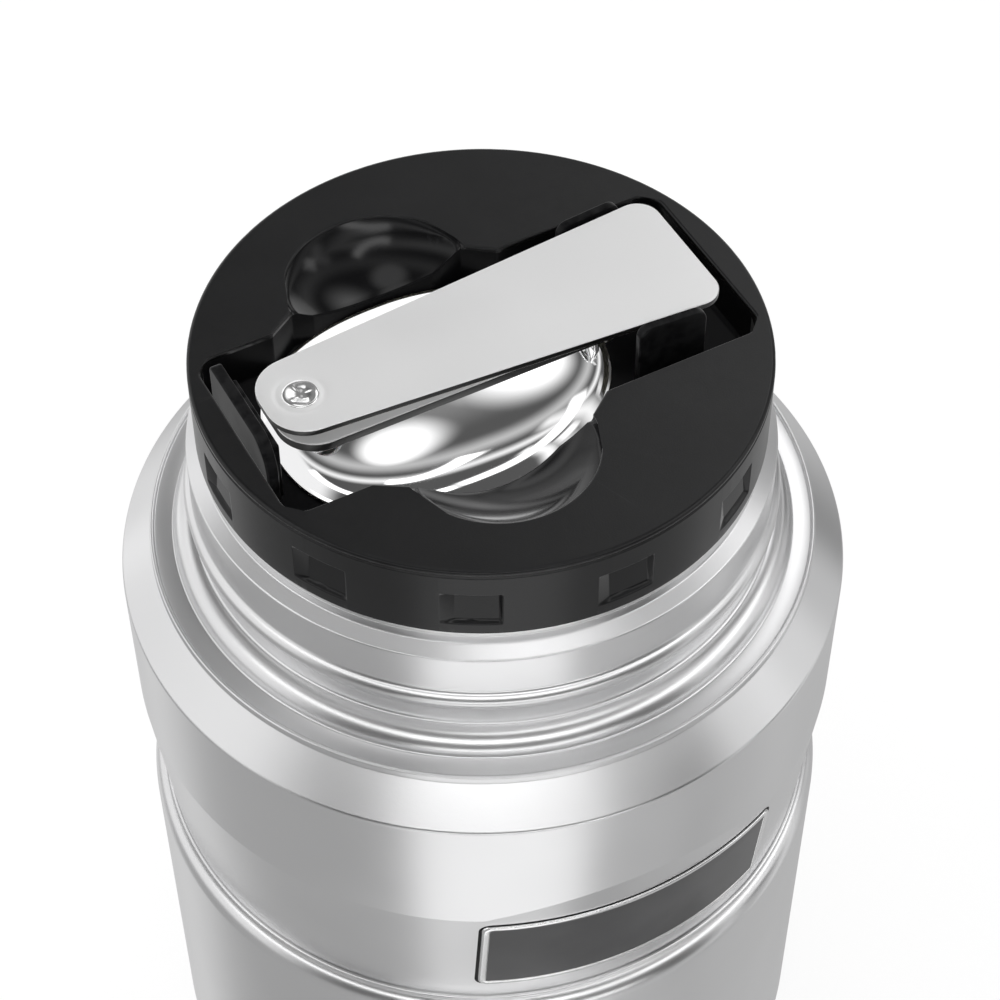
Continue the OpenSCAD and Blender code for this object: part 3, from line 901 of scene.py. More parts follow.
@dataclass(frozen=True)
class Soft(Finish):
    """Rubber, nylon or foam."""

    def dress(self, wire: Wire, shader: bpy.types.Node, place: bpy.types.NodeSocket) -> None:
        """Adds cells and a slow tint.

        Args:
            wire: The material's tree.
            shader: Its shader.
            place: Where the patterns are read.
        """
        shader.inputs["Subsurface Weight"].default_value = 0.1
        shader.inputs["Subsurface Scale"].default_value = 0.001
        cells = PATTERNS.place(wire, Pattern.CELLS, place, Size=self.grain).outputs
        self.feed(wire, shader, self.tint(wire, cells["Mask"]), cells["Height"], cells["Height"])


# Each roughness range stays clear of 0.274: Cycles' denoiser draws contour lines where a metal crosses it.
SHELL = SatinSteel("satin_shell_steel", (0.72, 0.72, 0.725), (0.76, 0.76, 0.765), (0.28, 0.31), 0.0003, 0.15)
VESSEL = TurnedSteel("turned_vessel_steel", grey(0.68), grey(0.76), (0.28, 0.34), 0.00025, 0.25)
BASE = TurnedSteel("turned_base_steel", (0.6, 0.6, 0.61), (0.7, 0.7, 0.71), (0.28, 0.36), 0.0003, 0.3)
POLISHED = TurnedSteel(
    "polished_spoon_steel", (0.86, 0.86, 0.865), grey(0.9), (0.05, 0.08), 0.0002, 0.04, 0.000004, length=0.02)
HANDLE = SatinSteel("satin_handle_steel", grey(0.81), grey(0.85), (0.36, 0.42), 0.0002, 0.12, metal=0.55)
LINK = SatinSteel("satin_link_steel", grey(0.48), grey(0.54), (0.28, 0.34), 0.0002, 0.12)
# Near-black steel for the side faces of the link and handle: it paints the shade in the narrow gaps between
# the stacked plates.
EDGE_SHADE_STEEL = SatinSteel("sheared_edge_steel", grey(0.07), grey(0.09), (0.28, 0.32), 0.0002, 0.12)
RIVET = TurnedSteel("polished_rivet_steel", grey(0.88), grey(0.93), (0.08, 0.14), 0.0002, 0.06, 0.000004)
BADGE_RIM = SatinSteel("badge_rim_steel", grey(0.78), grey(0.84), (0.18, 0.24), 0.0002, 0.08)
BADGE_FACE = Moulded(
    "badge_enamel", (0.035, 0.035, 0.036), (0.05, 0.05, 0.052), (0.3, 0.4), 0.00018, 0.5, worn=grey(0.12))
# Near-black, dull plastic for the strip round the badge: it paints the shadow in the gap between badge and
# shell.
PAINTED_SHADOW_LINE = Moulded("dark_gasket", grey(0.004), grey(0.008), (0.6, 0.7), 0.0003, 0.3, worn=grey(0.02), gloss=0.2)
CAP = Moulded(
    "matt_cap_plastic", (0.0045, 0.0045, 0.005), (0.0065, 0.0065, 0.007), (0.28, 0.3), 0.00022, 0.3,
    worn=(0.02, 0.02, 0.021), gloss=0.3)
# Black, dull plastic for the tabs, the end lip and the tray's walls and floor. Darker and less glossy than
# the cap and the scoops, it paints the shade of the deep recess and of the raised parts' faces.
TAB_SHADE_PLASTIC = Moulded(
    "satin_tab_plastic", (0.003, 0.003, 0.0035), (0.005, 0.005, 0.0055), (0.3, 0.38), 0.0003, 0.1,
    worn=(0.05, 0.05, 0.051), gloss=0.06)
TRAY = Moulded(
    "gloss_tray_plastic", (0.004, 0.004, 0.0045), (0.006, 0.006, 0.0065), (0.1, 0.16), 0.0004, 0.06,
    worn=(0.015, 0.015, 0.016), gloss=0.3)
PLUG = Moulded("plug_plastic", (0.011, 0.011, 0.012), (0.017, 0.017, 0.018), (0.34, 0.44), 0.0003, 0.3)
SILICONE = Soft("seal_silicone", (0.62, 0.61, 0.58), (0.72, 0.71, 0.68), (0.4, 0.5), 0.0006, 0.15, 0.00002)
FOAM = Soft("insulating_foam", (0.74, 0.7, 0.55), (0.84, 0.81, 0.68), (0.8, 0.95), 0.0009, 0.8, 0.0002)
NYLON = Soft("nylon_washer", (0.7, 0.7, 0.69), (0.8, 0.8, 0.79), (0.3, 0.42), 0.0005, 0.1)
FOIL = TurnedSteel(
    "vacuum_foil", (0.66, 0.5, 0.3), (0.78, 0.62, 0.4), (0.16, 0.26), 0.0012, 0.9, 0.00008, length=0.002)
SOLDER = SatinSteel("seal_solder", grey(0.3), grey(0.4), (0.4, 0.55), 0.0004, 0.7, 0.00003)


class Rides(Enum):
    """The bodies that pieces move with."""

    JAR = "jar"
    SEAL = "seal"
    STOPPER = "stopper"
    BOWL = "spoon_bowl_body"
    LINK = "spoon_link_body"
    HANDLE = "spoon_handle_body"


class Workshop:
    """Makes each finish once, and hangs pieces on their bodies."""

    def __init__(self) -> None:
        """Starts with no material made."""
        self.made: dict[str, bpy.types.Material] = {}

    def finish(self, finish: Finish) -> bpy.types.Material:
        """Returns the finish's material.

        Args:
            finish: The finish.

        Returns:
            Its one material.
        """
        if finish.name not in self.made:
            self.made[finish.name] = finish.make()
        return self.made[finish.name]

    def fit(
        self, piece: bpy.types.Object, finish: Finish, body: Rides, nodes: Sequence[str] = (),
    ) -> bpy.types.Object:
        """Dresses a new piece and hangs it on its body.

        Args:
            piece: The piece.
            finish: Its finish.
            body: The body that it rides on.
            nodes: CAD nodes that it stands for.

        Returns:
            The piece.
        """
        piece.data.materials.append(self.finish(finish))
        if nodes:
            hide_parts(*nodes)
        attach(piece, body.value)
        LOG.info("%s: %d vertices", piece.name, len(piece.data.vertices))
        return piece

    def repaint(self, node: str, finish: Finish) -> None:
        """Gives a carried-over CAD node its finish.

        Args:
            node: The node.
            finish: The finish.
        """
        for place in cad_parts[node].material_slots:
            place.material = self.finish(finish)
        LOG.info("%s: repainted", node)


# --------------------------------------------------------------------------- the jar


@dataclass
class OuterShell:
    """Steel shell: mouth ring, beaded neck, shelf, lip, chamfer, waist and foot.

    root is the width and height of the curve at the neck's foot; bead is the top, height and
    proudness of the bead. The pad behind the badge is a cone pad_extra wider than the waist, its
    axis pad_shift away from the badge; pad_turn is an angle, in radians, that it stays inside.
    """

    wall_r: float = 46.99
    waist_r: float = 44.9
    foot_r: float = 2.0
    foot_in: float = 42.0
    lower: float = 54.2
    waist: float = 57.2
    upper: float = 79.2
    chamfer: float = 98.7
    riser: float = 103.5
    shelf: float = 104.2
    lip_r: float = 42.9
    lip_w: float = 0.6
    root: Point2 = (2.9, 3.1)
    neck_r: float = 36.9
    bead: Point3 = (113.4, 3.3, 0.9)
    ledge: Point2 = (119.5, 120.5)
    mouth_r: float = 35.0
    rim: float = 121.8
    sheet: float = 0.55
    pad_shift: float = 3.86
    pad_extra: float = 3.5
    pad_turn: float = 1.2
    badge_turn: float = -2.2
    segments: int = 432

    def slope(self) -> float:
        """Rise of the waist's radius with height."""
        return (self.wall_r - self.waist_r) / (self.upper - self.waist)

    def turn(self, angle: float) -> float:
        """Angle from the middle of the badge, between -pi and pi."""
        t = angle + math.pi / 2 - math.radians(self.badge_turn)
        return (t + math.pi) % (2 * math.pi) - math.pi

    def radius(self, t: float, z: float) -> float:
        """Radius of the waist with its flattened pad.

        Args:
            t: Angle from the badge.
            z: Height.

        Returns:
            The radius.
        """
        cone = self.waist_r + (z - self.waist) * self.slope()
        if abs(t) > self.pad_turn:
            return cone
        wide = cone + self.pad_extra
        e = self.pad_shift
        return min(cone, math.sqrt(wide**2 - (e * math.sin(t)) ** 2) - e * math.cos(t))

    def crease(self, t: float) -> float:
        """Height at which the waist meets the upper wall.

        Args:
            t: Angle from the badge.

        Returns:
            The height.
        """
        if abs(t) > self.pad_turn:
            return self.upper
        e = self.pad_shift
        wide = math.hypot(self.wall_r + e * math.cos(t), e * math.sin(t))
        return max(self.upper, self.waist + (wide - self.waist_r - self.pad_extra) / self.slope())

    def neck(self) -> list[Point2]:
        """Profile of the mouth ring, the ledge, the bead and the neck's root.

        Returns:
            The profile, from the mouth down.
        """
        r, ring = self.neck_r, self.mouth_r
        top, tall, proud = self.bead
        line = filleted([(ring - self.sheet, self.rim, 0), (ring, self.rim, 0.15), (ring, self.ledge[1], 0.3),
                         (r, self.ledge[0], 0.35), (r, top + 0.6, 0)])
        for s in (i / 16 for i in range(17)):
            line.append((r + proud * math.sin(math.pi * s**0.8), top - tall * s))
        line += [(r, top - tall - 0.25), (r, self.shelf + self.root[1] + 0.4)]
        return line + arc((r, self.shelf), *self.root, 90, 8, 10)

    def ledges(self) -> list[Point2]:
        """Profile of the shelf round the neck and its lip.

        Returns:
            The profile, from the neck out.
        """
        half = self.lip_w / 2
        flat = [(self.neck_r + self.root[0] + 0.25, self.shelf), (self.lip_r - self.lip_w - 0.12, self.shelf)]
        return flat + arc((self.lip_r - half, self.shelf + 0.02), half, half, 165, 0, 8)

    def wall(self, t: float) -> list[Point2]:
        """Profile of the riser, the chamfer, the upper wall and the waist.

        Args:
            t: Angle from the badge.

        Returns:
            The profile, from the lip down.
        """
        r, crease, low = self.wall_r, self.crease(t), self.waist + 0.4
        under = crease - 1.6
        line = filleted([(self.lip_r, self.shelf, 0), (self.lip_r, self.riser, 0.25), (r, self.chamfer, 0.9),
                         (r, crease + 1.5, 0)], 7)[1:]
        line += filleted([(r, crease + 1.4, 0), (r, crease, 0.3), (self.radius(t, under), under, 0)], 6)
        heights = [under + (low - under) * k / 8 for k in range(1, 9)]
        return line + [(self.radius(t, z), z) for z in heights]

    def foot(self, t: float) -> list[Point2]:
        """Profile of the lower wall and the foot.

        Args:
            t: Angle from the badge.

        Returns:
            The profile, from the waist down.
        """
        r, f, low = self.wall_r, self.foot_r, self.radius(t, self.waist + 0.4)
        line = arc((low, self.lower), r - low, self.waist - self.lower, 84, 0, 12)
        line += [(r, z) for z in (52.0, 40.0, 26.0, 12.0)]
        line += arc((r - f, f), f, f, 0, -90, 8)
        inner = self.foot_in
        return line + filleted([(r - f - 0.2, 0, 0), (inner, 0, 0.2), (inner, self.sheet, 0)], 4)

    def column(self, angle: float) -> list[Point2]:
        """Profile of the shell at an angle, from the mouth down."""
        t = self.turn(angle)
        return self.neck() + self.ledges() + self.wall(t) + self.foot(t)

    def build(self, shop: Workshop) -> None:
        """Builds the shell."""
        shell = lathe("outer_shell_skin", self.column, self.segments)
        shop.fit(shell, SHELL, Rides.JAR, ["outer_shell"])


@dataclass
class Badge:
    """Curved plate in the waist's pad: a near-black strip that paints the shadow in the gap round it, a
    bright rim and a dark blank face.
    """

    shell: OuterShell
    width: float = 41.3
    low: float = 61.5
    high: float = 77.7
    corner: float = 1.2
    border: float = 0.9
    thick: float = 0.34
    sunk: float = 0.1
    gap: float = 0.34
    overlap: float = 0.05

    def outline(self, grow: float) -> list[Point2]:
        """Rounded rectangle in (across, height), with points close together.

        Args:
            grow: How far it lies outside the badge's edge.

        Returns:
            The closed outline.
        """
        w, low, high = self.width / 2 + grow, self.low - grow, self.high + grow
        corner = max(0.25, self.corner + grow)
        line: list[Point2] = []
        for x, z, a in ((w, high, 0), (-w, high, 90), (-w, low, 180), (w, low, 270)):
            cx, cz = x - math.copysign(corner, x), z + (corner if z == low else -corner)
            line += arc((cx, cz), corner, corner, a, a + 90, 5)
        return dense_loop(line, 0.8)

    def spot(self, x: float, z: float, out: float) -> Point3:
        """Point over the pad.

        Args:
            x: Place across the badge.
            z: Height.
            out: How far it stands proud of the pad.

        Returns:
            The point.
        """
        shell = self.shell
        wide = shell.waist_r + (z - shell.waist) * shell.slope() + shell.pad_extra + out
        y = shell.pad_shift - math.sqrt(wide**2 - x**2)
        turned = Matrix.Rotation(math.radians(shell.badge_turn), 2) @ Vector((x, y))
        return (turned.x, turned.y, z)

    def band(self, name: str, steps: Sequence[Point2]) -> bpy.types.Object:
        """Ring round the badge's outline.

        Args:
            name: Name of the object.
            steps: (growth, proudness) of each line of its section.

        Returns:
            The ring.
        """
        work = bmesh.new()
        count = len(self.outline(steps[0][0]))
        rings = []
        for grow, out in steps:
            line = self.outline(grow)
            picked = [line[i * len(line) // count] for i in range(count)]
            rings.append([work.verts.new(self.spot(x, z, out)) for x, z in picked])
        skin(work, rings)
        return finish_solid(name, work)

    def face(self) -> bpy.types.Object:
        """Blank face inside the rim.

        Returns:
            The face.
        """
        work = bmesh.new()
        across, up = 48, 12
        wide = self.width - 2 * (self.border - self.overlap)
        tall = self.high - self.low - 2 * (self.border - self.overlap)
        skin(work, [[work.verts.new(self.spot(
            wide * (i / across - 0.5), self.low + self.border - self.overlap + tall * j / up,
            self.thick - self.sunk)) for i in range(across + 1)] for j in range(up + 1)], closed=False)
        return finish_mesh("badge_face", work)

    def build(self, shop: Workshop) -> None:
        """Builds the near-black line that paints the shadow in the gap, the rim and the face.

        Args:
            shop: Where the pieces are dressed.
        """
        t, b = self.thick, self.border
        # A near-black strip just outside the rim paints the shadow in the gap between badge and shell.
        line = self.band("badge_gap_line", [(self.gap, -0.2), (self.gap, 0.015), (-0.3, 0.015)])
        shop.fit(line, PAINTED_SHADOW_LINE, Rides.JAR)
        rim = self.band("badge_rim", [(0, -0.1), (0, t - 0.2), (-0.06, t - 0.07), (-0.2, t), (-b + 0.25, t),
                                      (-b + 0.1, t - 0.03), (-b, t - 0.1), (-b, 0)])
        shop.fit(rim, BADGE_RIM, Rides.JAR, ["badge_frame"])
        shop.fit(self.face(), BADGE_FACE, Rides.JAR, ["badge_inlay"])


@dataclass
class Vessel:
    """Inner food vessel with its rolled mouth, internal thread and seat."""

    bore_r: float = 33.9
    mouth_r: float = 35.0
    mouth: float = 122.3
    seat: float = 106.25
    throat_r: float = 31.6
    throat: float = 103.95
    shoulder: float = 94.95
    cavity_r: float = 41.0
    floor: float = 8.0
    floor_r: float = 6.0
    wall: float = 0.5
    thread: float = 113.0

    def side(self, t: float) -> list[Point2]:
        """Profile of one side of the sheet, from the bore down to the axis.

        Args:
            t: How far it lies outside the food side.

        Returns:
            The profile.
        """
        bore, throat, cavity = self.bore_r + t, self.throat_r + t, self.cavity_r - self.throat_r
        seat = self.seat - t
        line = [(bore, z) for z in (121.0, 114.0)]
        line += filleted([(bore, self.seat + 1.0, 0), (bore, seat, 0.3), (throat, seat, 0.3),
                          (throat, self.throat, 0)], 3)
        line += arc((throat, self.shoulder), cavity, self.throat - self.shoulder, 90, 0, 16)
        line += [(self.cavity_r + t, z) for z in (80.0, 60.0, 40.0, 24.0)]
        line += arc((self.cavity_r - self.floor_r, self.floor + self.floor_r), self.floor_r + t,
                    self.floor_r + t, 0, -90, 10)
        return line + [(r, self.floor - t) for r in (26.0, 14.0, AXIS)]

    def outline(self) -> list[Point2]:
        """Closed profile: down the food side, back up the vacuum side.

        Returns:
            The profile.
        """
        w, bore = self.wall, self.bore_r
        rolled = filleted([(bore + 2 * w, self.mouth - 1.4, 0), (bore + 2 * w, self.mouth - w, 0.1),
                           (self.mouth_r, self.mouth - w, 0.12), (self.mouth_r, self.mouth, 0.3),
                           (bore, self.mouth, 0.5), (bore, self.mouth - 1.0, 0)], 5)
        return rolled + self.side(0) + self.side(w)[::-1]

    def build(self, shop: Workshop) -> None:
        """Builds the vessel and its thread.

        Args:
            shop: Where the pieces are dressed.
        """
        vessel = lathe("inner_vessel_skin", lambda angle: self.outline(), 256)
        shop.fit(vessel, VESSEL, Rides.JAR, ["inner_vessel"])
        thread = Thread(self.bore_r + 0.2, self.bore_r - 1.2, self.thread)
        shop.fit(thread.build("inner_thread"), VESSEL, Rides.JAR)


@dataclass
class Base:
    """Base cover with pressed rings, and the parts in the vacuum space."""

    cover_r: float = 41.95
    low: float = 0.15
    thick: float = 0.4
    rings: Point3 = (12.0, 24.0, 36.0)
    press: float = 0.12

    def build(self, shop: Workshop) -> None:
        """Builds the cover and repaints what is inside.

        Args:
            shop: Where the pieces are dressed.
        """
        low, up, top = self.low, self.low + self.press, self.low + self.thick
        line: list[Point2] = [(AXIS, low)]
        for r in self.rings:
            line += [(r - 0.6, low), (r - 0.25, up), (r + 0.25, up), (r + 0.6, low)]
        line += [(self.cover_r - 0.15, low), (self.cover_r, up), (self.cover_r, top), (AXIS, top)]
        shop.fit(turned_disc("base_cover_disc", line), BASE, Rides.JAR, ["base_cover"])
        for node, finish in (("radiation_foil", FOIL), ("outer_bottom", BASE), ("vacuum_seal", SOLDER),
                             ("getter_capsule", SOLDER)):
            shop.repaint(node, finish)


# --------------------------------------------------------------------------- the stopper


@dataclass(frozen=True)
class Blade:
    """Plan of the spoon's handle, which the snap tabs follow."""

    half: float = 28.7
    narrow: float = 5.8
    wide: float = 10.0

    def tilt(self) -> float:
        """Angle of its long sides from the x axis."""
        return math.atan((self.wide - self.narrow) / (2 * self.half))


BLADE = Blade()


@dataclass
class Plan:
    """Plan of the stopper's recess: pocket, bowl place, chamfers and thumb scoops."""

    length: float = 63.8
    width: float = 27.4
    corner: float = 2.8
    bowl: Point3 = (-6.0, 22.85, 17.35)
    chamfer: tuple[Point2, ...] = ((-16.2, 13.2), (-11.7, 16.0), (0.0, 16.0), (11.9, 16.5), (15.6, 13.7))
    scoop_x: float = -5.7
    scoop_y: float = 15.0
    scoop_r: float = 12.1
    scoop_deep: float = 4.8
    centre: Point2 = (-6.0, 0.0)
    count: int = 900

    def angles(self) -> list[float]:
        """Directions of the columns round the centre."""
        return [2 * math.pi * (k + 0.5) / self.count for k in range(self.count)]

    def farthest(self, shapes: Iterable[Sequence[Point2]]) -> list[float]:
        """Distance to the farthest of some outlines in each direction."""
        found = [reach(shape, self.centre, self.angles()) for shape in shapes]
        return [max(values) for values in zip(*found)]

    def deep(self) -> list[float]:
        """Distance to the deep recess's wall in each direction.

        Returns:
            One distance a column.
        """
        w, h, c = self.length / 2 - self.corner, self.width / 2 - self.corner, self.corner
        box: list[Point2] = []
        for x, y, a in ((w, h, 0), (-w, h, 90), (-w, -h, 180), (w, -h, 270)):
            box += arc((x, y), c, c, a, a + 90, 10)
        x, a, b = self.bowl
        shapes = [box, oval((x, 0), a, b)]
        for side in (1, -1):
            edge = [(x + px, side * py) for px, py in self.chamfer[::-1]]
            shapes.append([(edge[0][0], 0), *edge, (edge[-1][0], 0)])
        return self.farthest(shapes)

    def top(self) -> list[float]:
        """Distance to the recess's edge at the top face, scoops taken in."""
        scoops = [oval((self.scoop_x, side * self.scoop_y), self.scoop_r, self.scoop_r) for side in (1, -1)]
        return [max(pair) for pair in zip(self.deep(), self.farthest(scoops))]

    def scoop(self, x: float, y: float) -> float:
        """Depth of the thumb scoops under the top face.

        Args:
            x: Place along the spoon.
            y: Place across it.

        Returns:
            The depth, negative outside the scoops.
        """
        ball = (self.scoop_r**2 + self.scoop_deep**2) / (2 * self.scoop_deep)
        d2 = (x - self.scoop_x) ** 2 + (abs(y) - self.scoop_y) ** 2
        return math.sqrt(max(0.0, ball**2 - d2)) - ball + self.scoop_deep


@dataclass(frozen=True)
class Grip:
    """Finger grip pressed into the skirt: a sloping cheek, a flat floor and a steep far side."""

    low: float = 124.6
    high: float = 130.0
    depth: float = 1.15
    half: float = 3.65
    cheek: float = 1.75
    steep: float = 0.35
    brink: float = 0.4

    def share(self, across: float, z: float) -> float:
        """Share of the grip's depth at a place.

        Args:
            across: Distance from the grip's middle, round the skirt.
            z: Height.

        Returns:
            0 outside the grip, 1 at the top of its floor.
        """
        inside = min(z - self.low, self.high - z) / self.brink
        if abs(across) >= self.half or inside <= 0:
            return 0.0
        sides = min(1.0, (across + self.half) / self.cheek, (self.half - across) / self.steep)
        return sides * min(1.0, inside) * (0.5 + 0.5 * (z - self.low) / (self.high - self.low))

    def marks(self) -> list[float]:
        """Places across the grip at which the skirt has columns.

        Returns:
            Their distances from the grip's middle.
        """
        foot = self.cheek - self.half
        cheek = [-self.half, -self.half + 0.1, -self.half + self.cheek / 2, foot - 0.1, foot, foot + 0.1]
        return cheek + [0.0, 0.8, 1.6, 2.4] + [self.half - d for d in (0.45, 0.35, 0.18, 0.05, 0.0)]

    def levels(self) -> list[float]:
        """Heights at which the skirt has points.

        Returns:
            The heights, from the top down.
        """
        above = [self.high + d for d in (2.0, 1.0, 0.3, 0.05, 0.0, -0.1, -0.2, -0.4, -0.5, -1.0)]
        below = [self.low + d for d in (0.9, 0.5, 0.4, 0.2, 0.1, 0.0, -0.1)]
        return [*above, (self.low + self.high) / 2, *below]


@dataclass
class Stopper:
    """Screw stopper: cap, spoon tray, plug, foam and seal.

    groove is the top, bottom and depth of the thin groove; flange the plug flange's bottom, top and
    radius; foot the underside's lowest face, its dish and the seal's seat; seal the ring's bottom,
    middle and top.
    """

    plan: Plan = field(default_factory=Plan)
    grip: Grip = field(default_factory=Grip)
    grips: int = 12
    top: float = 134.0
    skirt: float = 122.8
    cap_r: float = 35.5
    edge: float = 0.5
    wall: float = 1.9
    plate: float = 1.2
    groove: Point3 = (133.35, 132.95, 0.28)
    floor: float = 127.5
    lip: float = 0.3
    plug_r: float = 32.3
    plug_wall: float = 1.6
    flange: Point3 = (123.6, 126.4, 33.5)
    thread: float = 111.0
    disc: Point2 = (108.2, 109.6)
    disc_r: float = 29.0
    foot: Point3 = (105.35, 105.75, 106.25)
    seal_r: float = 29.05
    seal: Point3 = (106.3, 107.0, 107.8)

    def column_angles(self) -> list[float]:
        """Angles of the skirt's columns, close together at the grips' edges.

        Returns:
            The angles in radians, from 0 up.
        """
        out: list[float] = []
        for k in range(self.grips):
            middle = 360 * k / self.grips
            out += [middle + math.degrees(math.asin(m / self.cap_r)) for m in self.grip.marks()]
            out += [middle + a for a in (6.2, 8.0, 10.0, 12.0, 14.0, 16.0, 18.0, 20.0, 22.0, 24.0)]
        return sorted(math.radians(a % 360) for a in out)

    def grip_radius(self, angle: float, z: float) -> float:
        """Radius of the skirt with its finger grips.

        Args:
            angle: Angle in radians.
            z: Height.

        Returns:
            The radius.
        """
        step = 2 * math.pi / self.grips
        a = (angle + step / 2) % step - step / 2
        pressed = min(self.cap_r, (self.cap_r - self.grip.depth) / math.cos(a))
        return self.cap_r + (pressed - self.cap_r) * self.grip.share(self.cap_r * math.sin(a), z)

    def skirt_column(self, angle: float) -> list[Point2]:
        """Profile of the skirt from the top face's edge, down and back up inside.

        Args:
            angle: Angle in radians.

        Returns:
            The profile.
        """
        r, e, inner = self.cap_r, self.edge, self.cap_r - self.wall
        high, low, deep = self.groove
        line = arc((r - e, self.top - e), e, e, 90, 15, 6)
        line += [(r, high), (r - deep, high - 0.05), (r - deep, low + 0.05), (r, low), (r, low - 0.2)]
        line += [(self.grip_radius(angle, z), z) for z in self.grip.levels()]
        line += filleted([(r, self.grip.low - 0.5, 0), (r, self.skirt, 0.3), (inner, self.skirt, 0.25),
                          (inner, self.skirt + 1.5, 0)], 4)
        return line + [(inner, self.top - self.plate)]

    def cap(self) -> bpy.types.Object:
        """Top face with its opening, and the skirt.

        Returns:
            The cap.
        """
        work = bmesh.new()
        columns = [meridian(work, self.skirt_column(a), a) for a in self.column_angles()]
        skin(work, [*columns, columns[0]], closed=False)
        angles, tops, count = self.plan.angles(), self.plan.top(), self.plan.count
        rings = []
        for share, drop in ((0.0, 1.05), (0.1, 0.56), (0.29, 0.29), (0.6, 0.08), (1.0, 0.0)):
            grow, z = self.lip * share, self.top - self.lip * drop
            rings.append([vert for d, a in zip(tops, angles)
                          for vert in meridian(work, [(d + grow, z)], a, self.plan.centre)])
        skin(work, rings)

        def solid(spot: Vector) -> bool:
            """Tells whether a point of the top face lies outside the opening.

            Args:
                spot: The point.

            Returns:
                Whether it does.
            """
            off = spot - Vector(self.plan.centre)
            k = int(math.atan2(off.y, off.x) % (2 * math.pi) / (2 * math.pi) * count) % count
            return math.hypot(off.x, off.y) > min(tops[k], tops[k - 1], tops[(k + 1) % count])

        borders = [[column[0] for column in columns], rings[-1]]
        fill(work, borders, [], solid)
        bmesh.ops.recalc_face_normals(work, faces=work.faces)
        for ring in borders:
            for first, second in zip(ring, ring[1:] + ring[:1]):
                work.edges.get((first, second)).smooth = False
        return finish_mesh("stopper_cap_skin", work)

    def tray(self) -> bpy.types.Object:
        """Everything inside the opening: scoops, walls and floor.

        Returns:
            The tray; its walls and floor take the second finish.
        """
        work = bmesh.new()
        plan, (cx, cy), steps = self.plan, self.plan.centre, 10
        base = self.top - self.lip
        middle = work.verts.new((cx, cy, self.floor))
        columns: list[Verts] = []
        walls: set[bmesh.types.BMVert] = set()
        for a, wide, deep in zip(plan.angles(), plan.top(), plan.deep()):
            c, s = math.cos(a), math.sin(a)
            radii = [wide + (deep - wide) * k / steps for k in range(1, steps)] + [deep]
            line = [(wide + 0.05, base + 0.02)]
            for k, r in enumerate(radii, 1):
                line.append((r, min(self.top - plan.scoop(cx + r * c, cy + r * s), base - 0.05 * k)))
            line[-2:] = filleted([(*line[-2], 0), (*line[-1], 0.3), (deep - 0.001, self.floor, 0.7),
                                  (deep - 4.0, self.floor, 0)], 5)
            columns.append(meridian(work, line, a, plan.centre) + [middle])
            walls.update(columns[-1][steps:])
        skin(work, [*columns, columns[0]], closed=False)
        # Walls and floor take the second slot, the darker finish that paints the recess's shade.
        for face in work.faces:
            face.material_index = int(walls.issuperset(face.verts))
        bmesh.ops.recalc_face_normals(work, faces=work.faces)
        for face in work.faces:  # The floor looks up, whichever way the open shell was turned.
            if face.calc_center_median().z < self.floor + 0.01 and face.normal.z < 0:
                face.normal_flip()
        return finish_mesh("spoon_tray_skin", work)

    def plug(self) -> list[Point2]:
        """Profile of the plug's wall with its flange.

        Returns:
            The closed profile.
        """
        low, high, wide = self.flange
        r, inner, foot = self.plug_r, self.plug_r - self.plug_wall, self.disc[1]
        outline = filleted([(inner, foot, 0), (r, foot, 0.2), (r, low, 0.3), (wide, low, 0.3),
                            (wide, high, 0.3), (inner, high, 0.2), (inner, foot + 0.01, 0)], 4)
        return dense(outline, 4.0)

    def bottom(self) -> list[Point2]:
        """Profile of the plug's bottom, with the seal's seat and a dished underside.

        Returns:
            The profile, from the axis out and back.
        """
        (low, high), (foot, dish, seat), r = self.disc, self.foot, self.disc_r
        return filleted([(AXIS, high, 0), (self.plug_r, high, 0.2), (self.plug_r, low, 0.2), (r, low, 0.1),
                         (r, seat, 0.1), (30.0, seat, 0.1), (29.7, foot, 0.4), (24.0, foot, 0.3),
                         (23.5, dish, 0.3), (4.0, dish, 0.3), (3.4, foot, 0.3), (AXIS, foot, 0)], 4)

    def seal_section(self) -> list[Point2]:
        """Closed profile of the seal ring."""
        (low, middle, high), r = self.seal, self.seal_r
        return filleted([(r, middle, 0), (r, low, 0.1), (31.3, low, 0.4), (32.2, 106.6, 0.3),
                         (32.2, 107.2, 0.3), (31.3, high, 0.4), (r, high, 0.1), (r, middle + 0.05, 0)], 4)

    def end_lip(self) -> list[bpy.types.Object]:
        """Raised end lip beyond the rivet, and the step in front of it.

        Returns:
            The lip and the step.
        """
        y0, y1, up, floor = -7.5, 8.2, 4.8, self.floor - self.top
        side = [(y0, floor), (y1, floor)]
        side += arc((y1 - 0.8, up - 0.8), 0.8, 0.8, 0, 90, 6) + arc((y0 + 3.4, 0), 3.4, up, 90, 180, 12)
        step = [(y0 + 2.4, floor), (y1 - 1.2, floor), (y1 - 1.2, 2.0), (y1 - 1.4, 2.2), (y0 + 2.6, 2.2),
                (y0 + 2.4, 2.0)]
        stand = Matrix(((0, 0, 1, -31.85), (1, 0, 0, 0), (0, 1, 0, self.top), (0, 0, 0, 1)))
        return [shifted(plate("end_lip", side, 0.0, 1.5, 0.25), stand),
                shifted(plate("end_lip_step", step, 1.3, 2.75, 0.15), stand)]

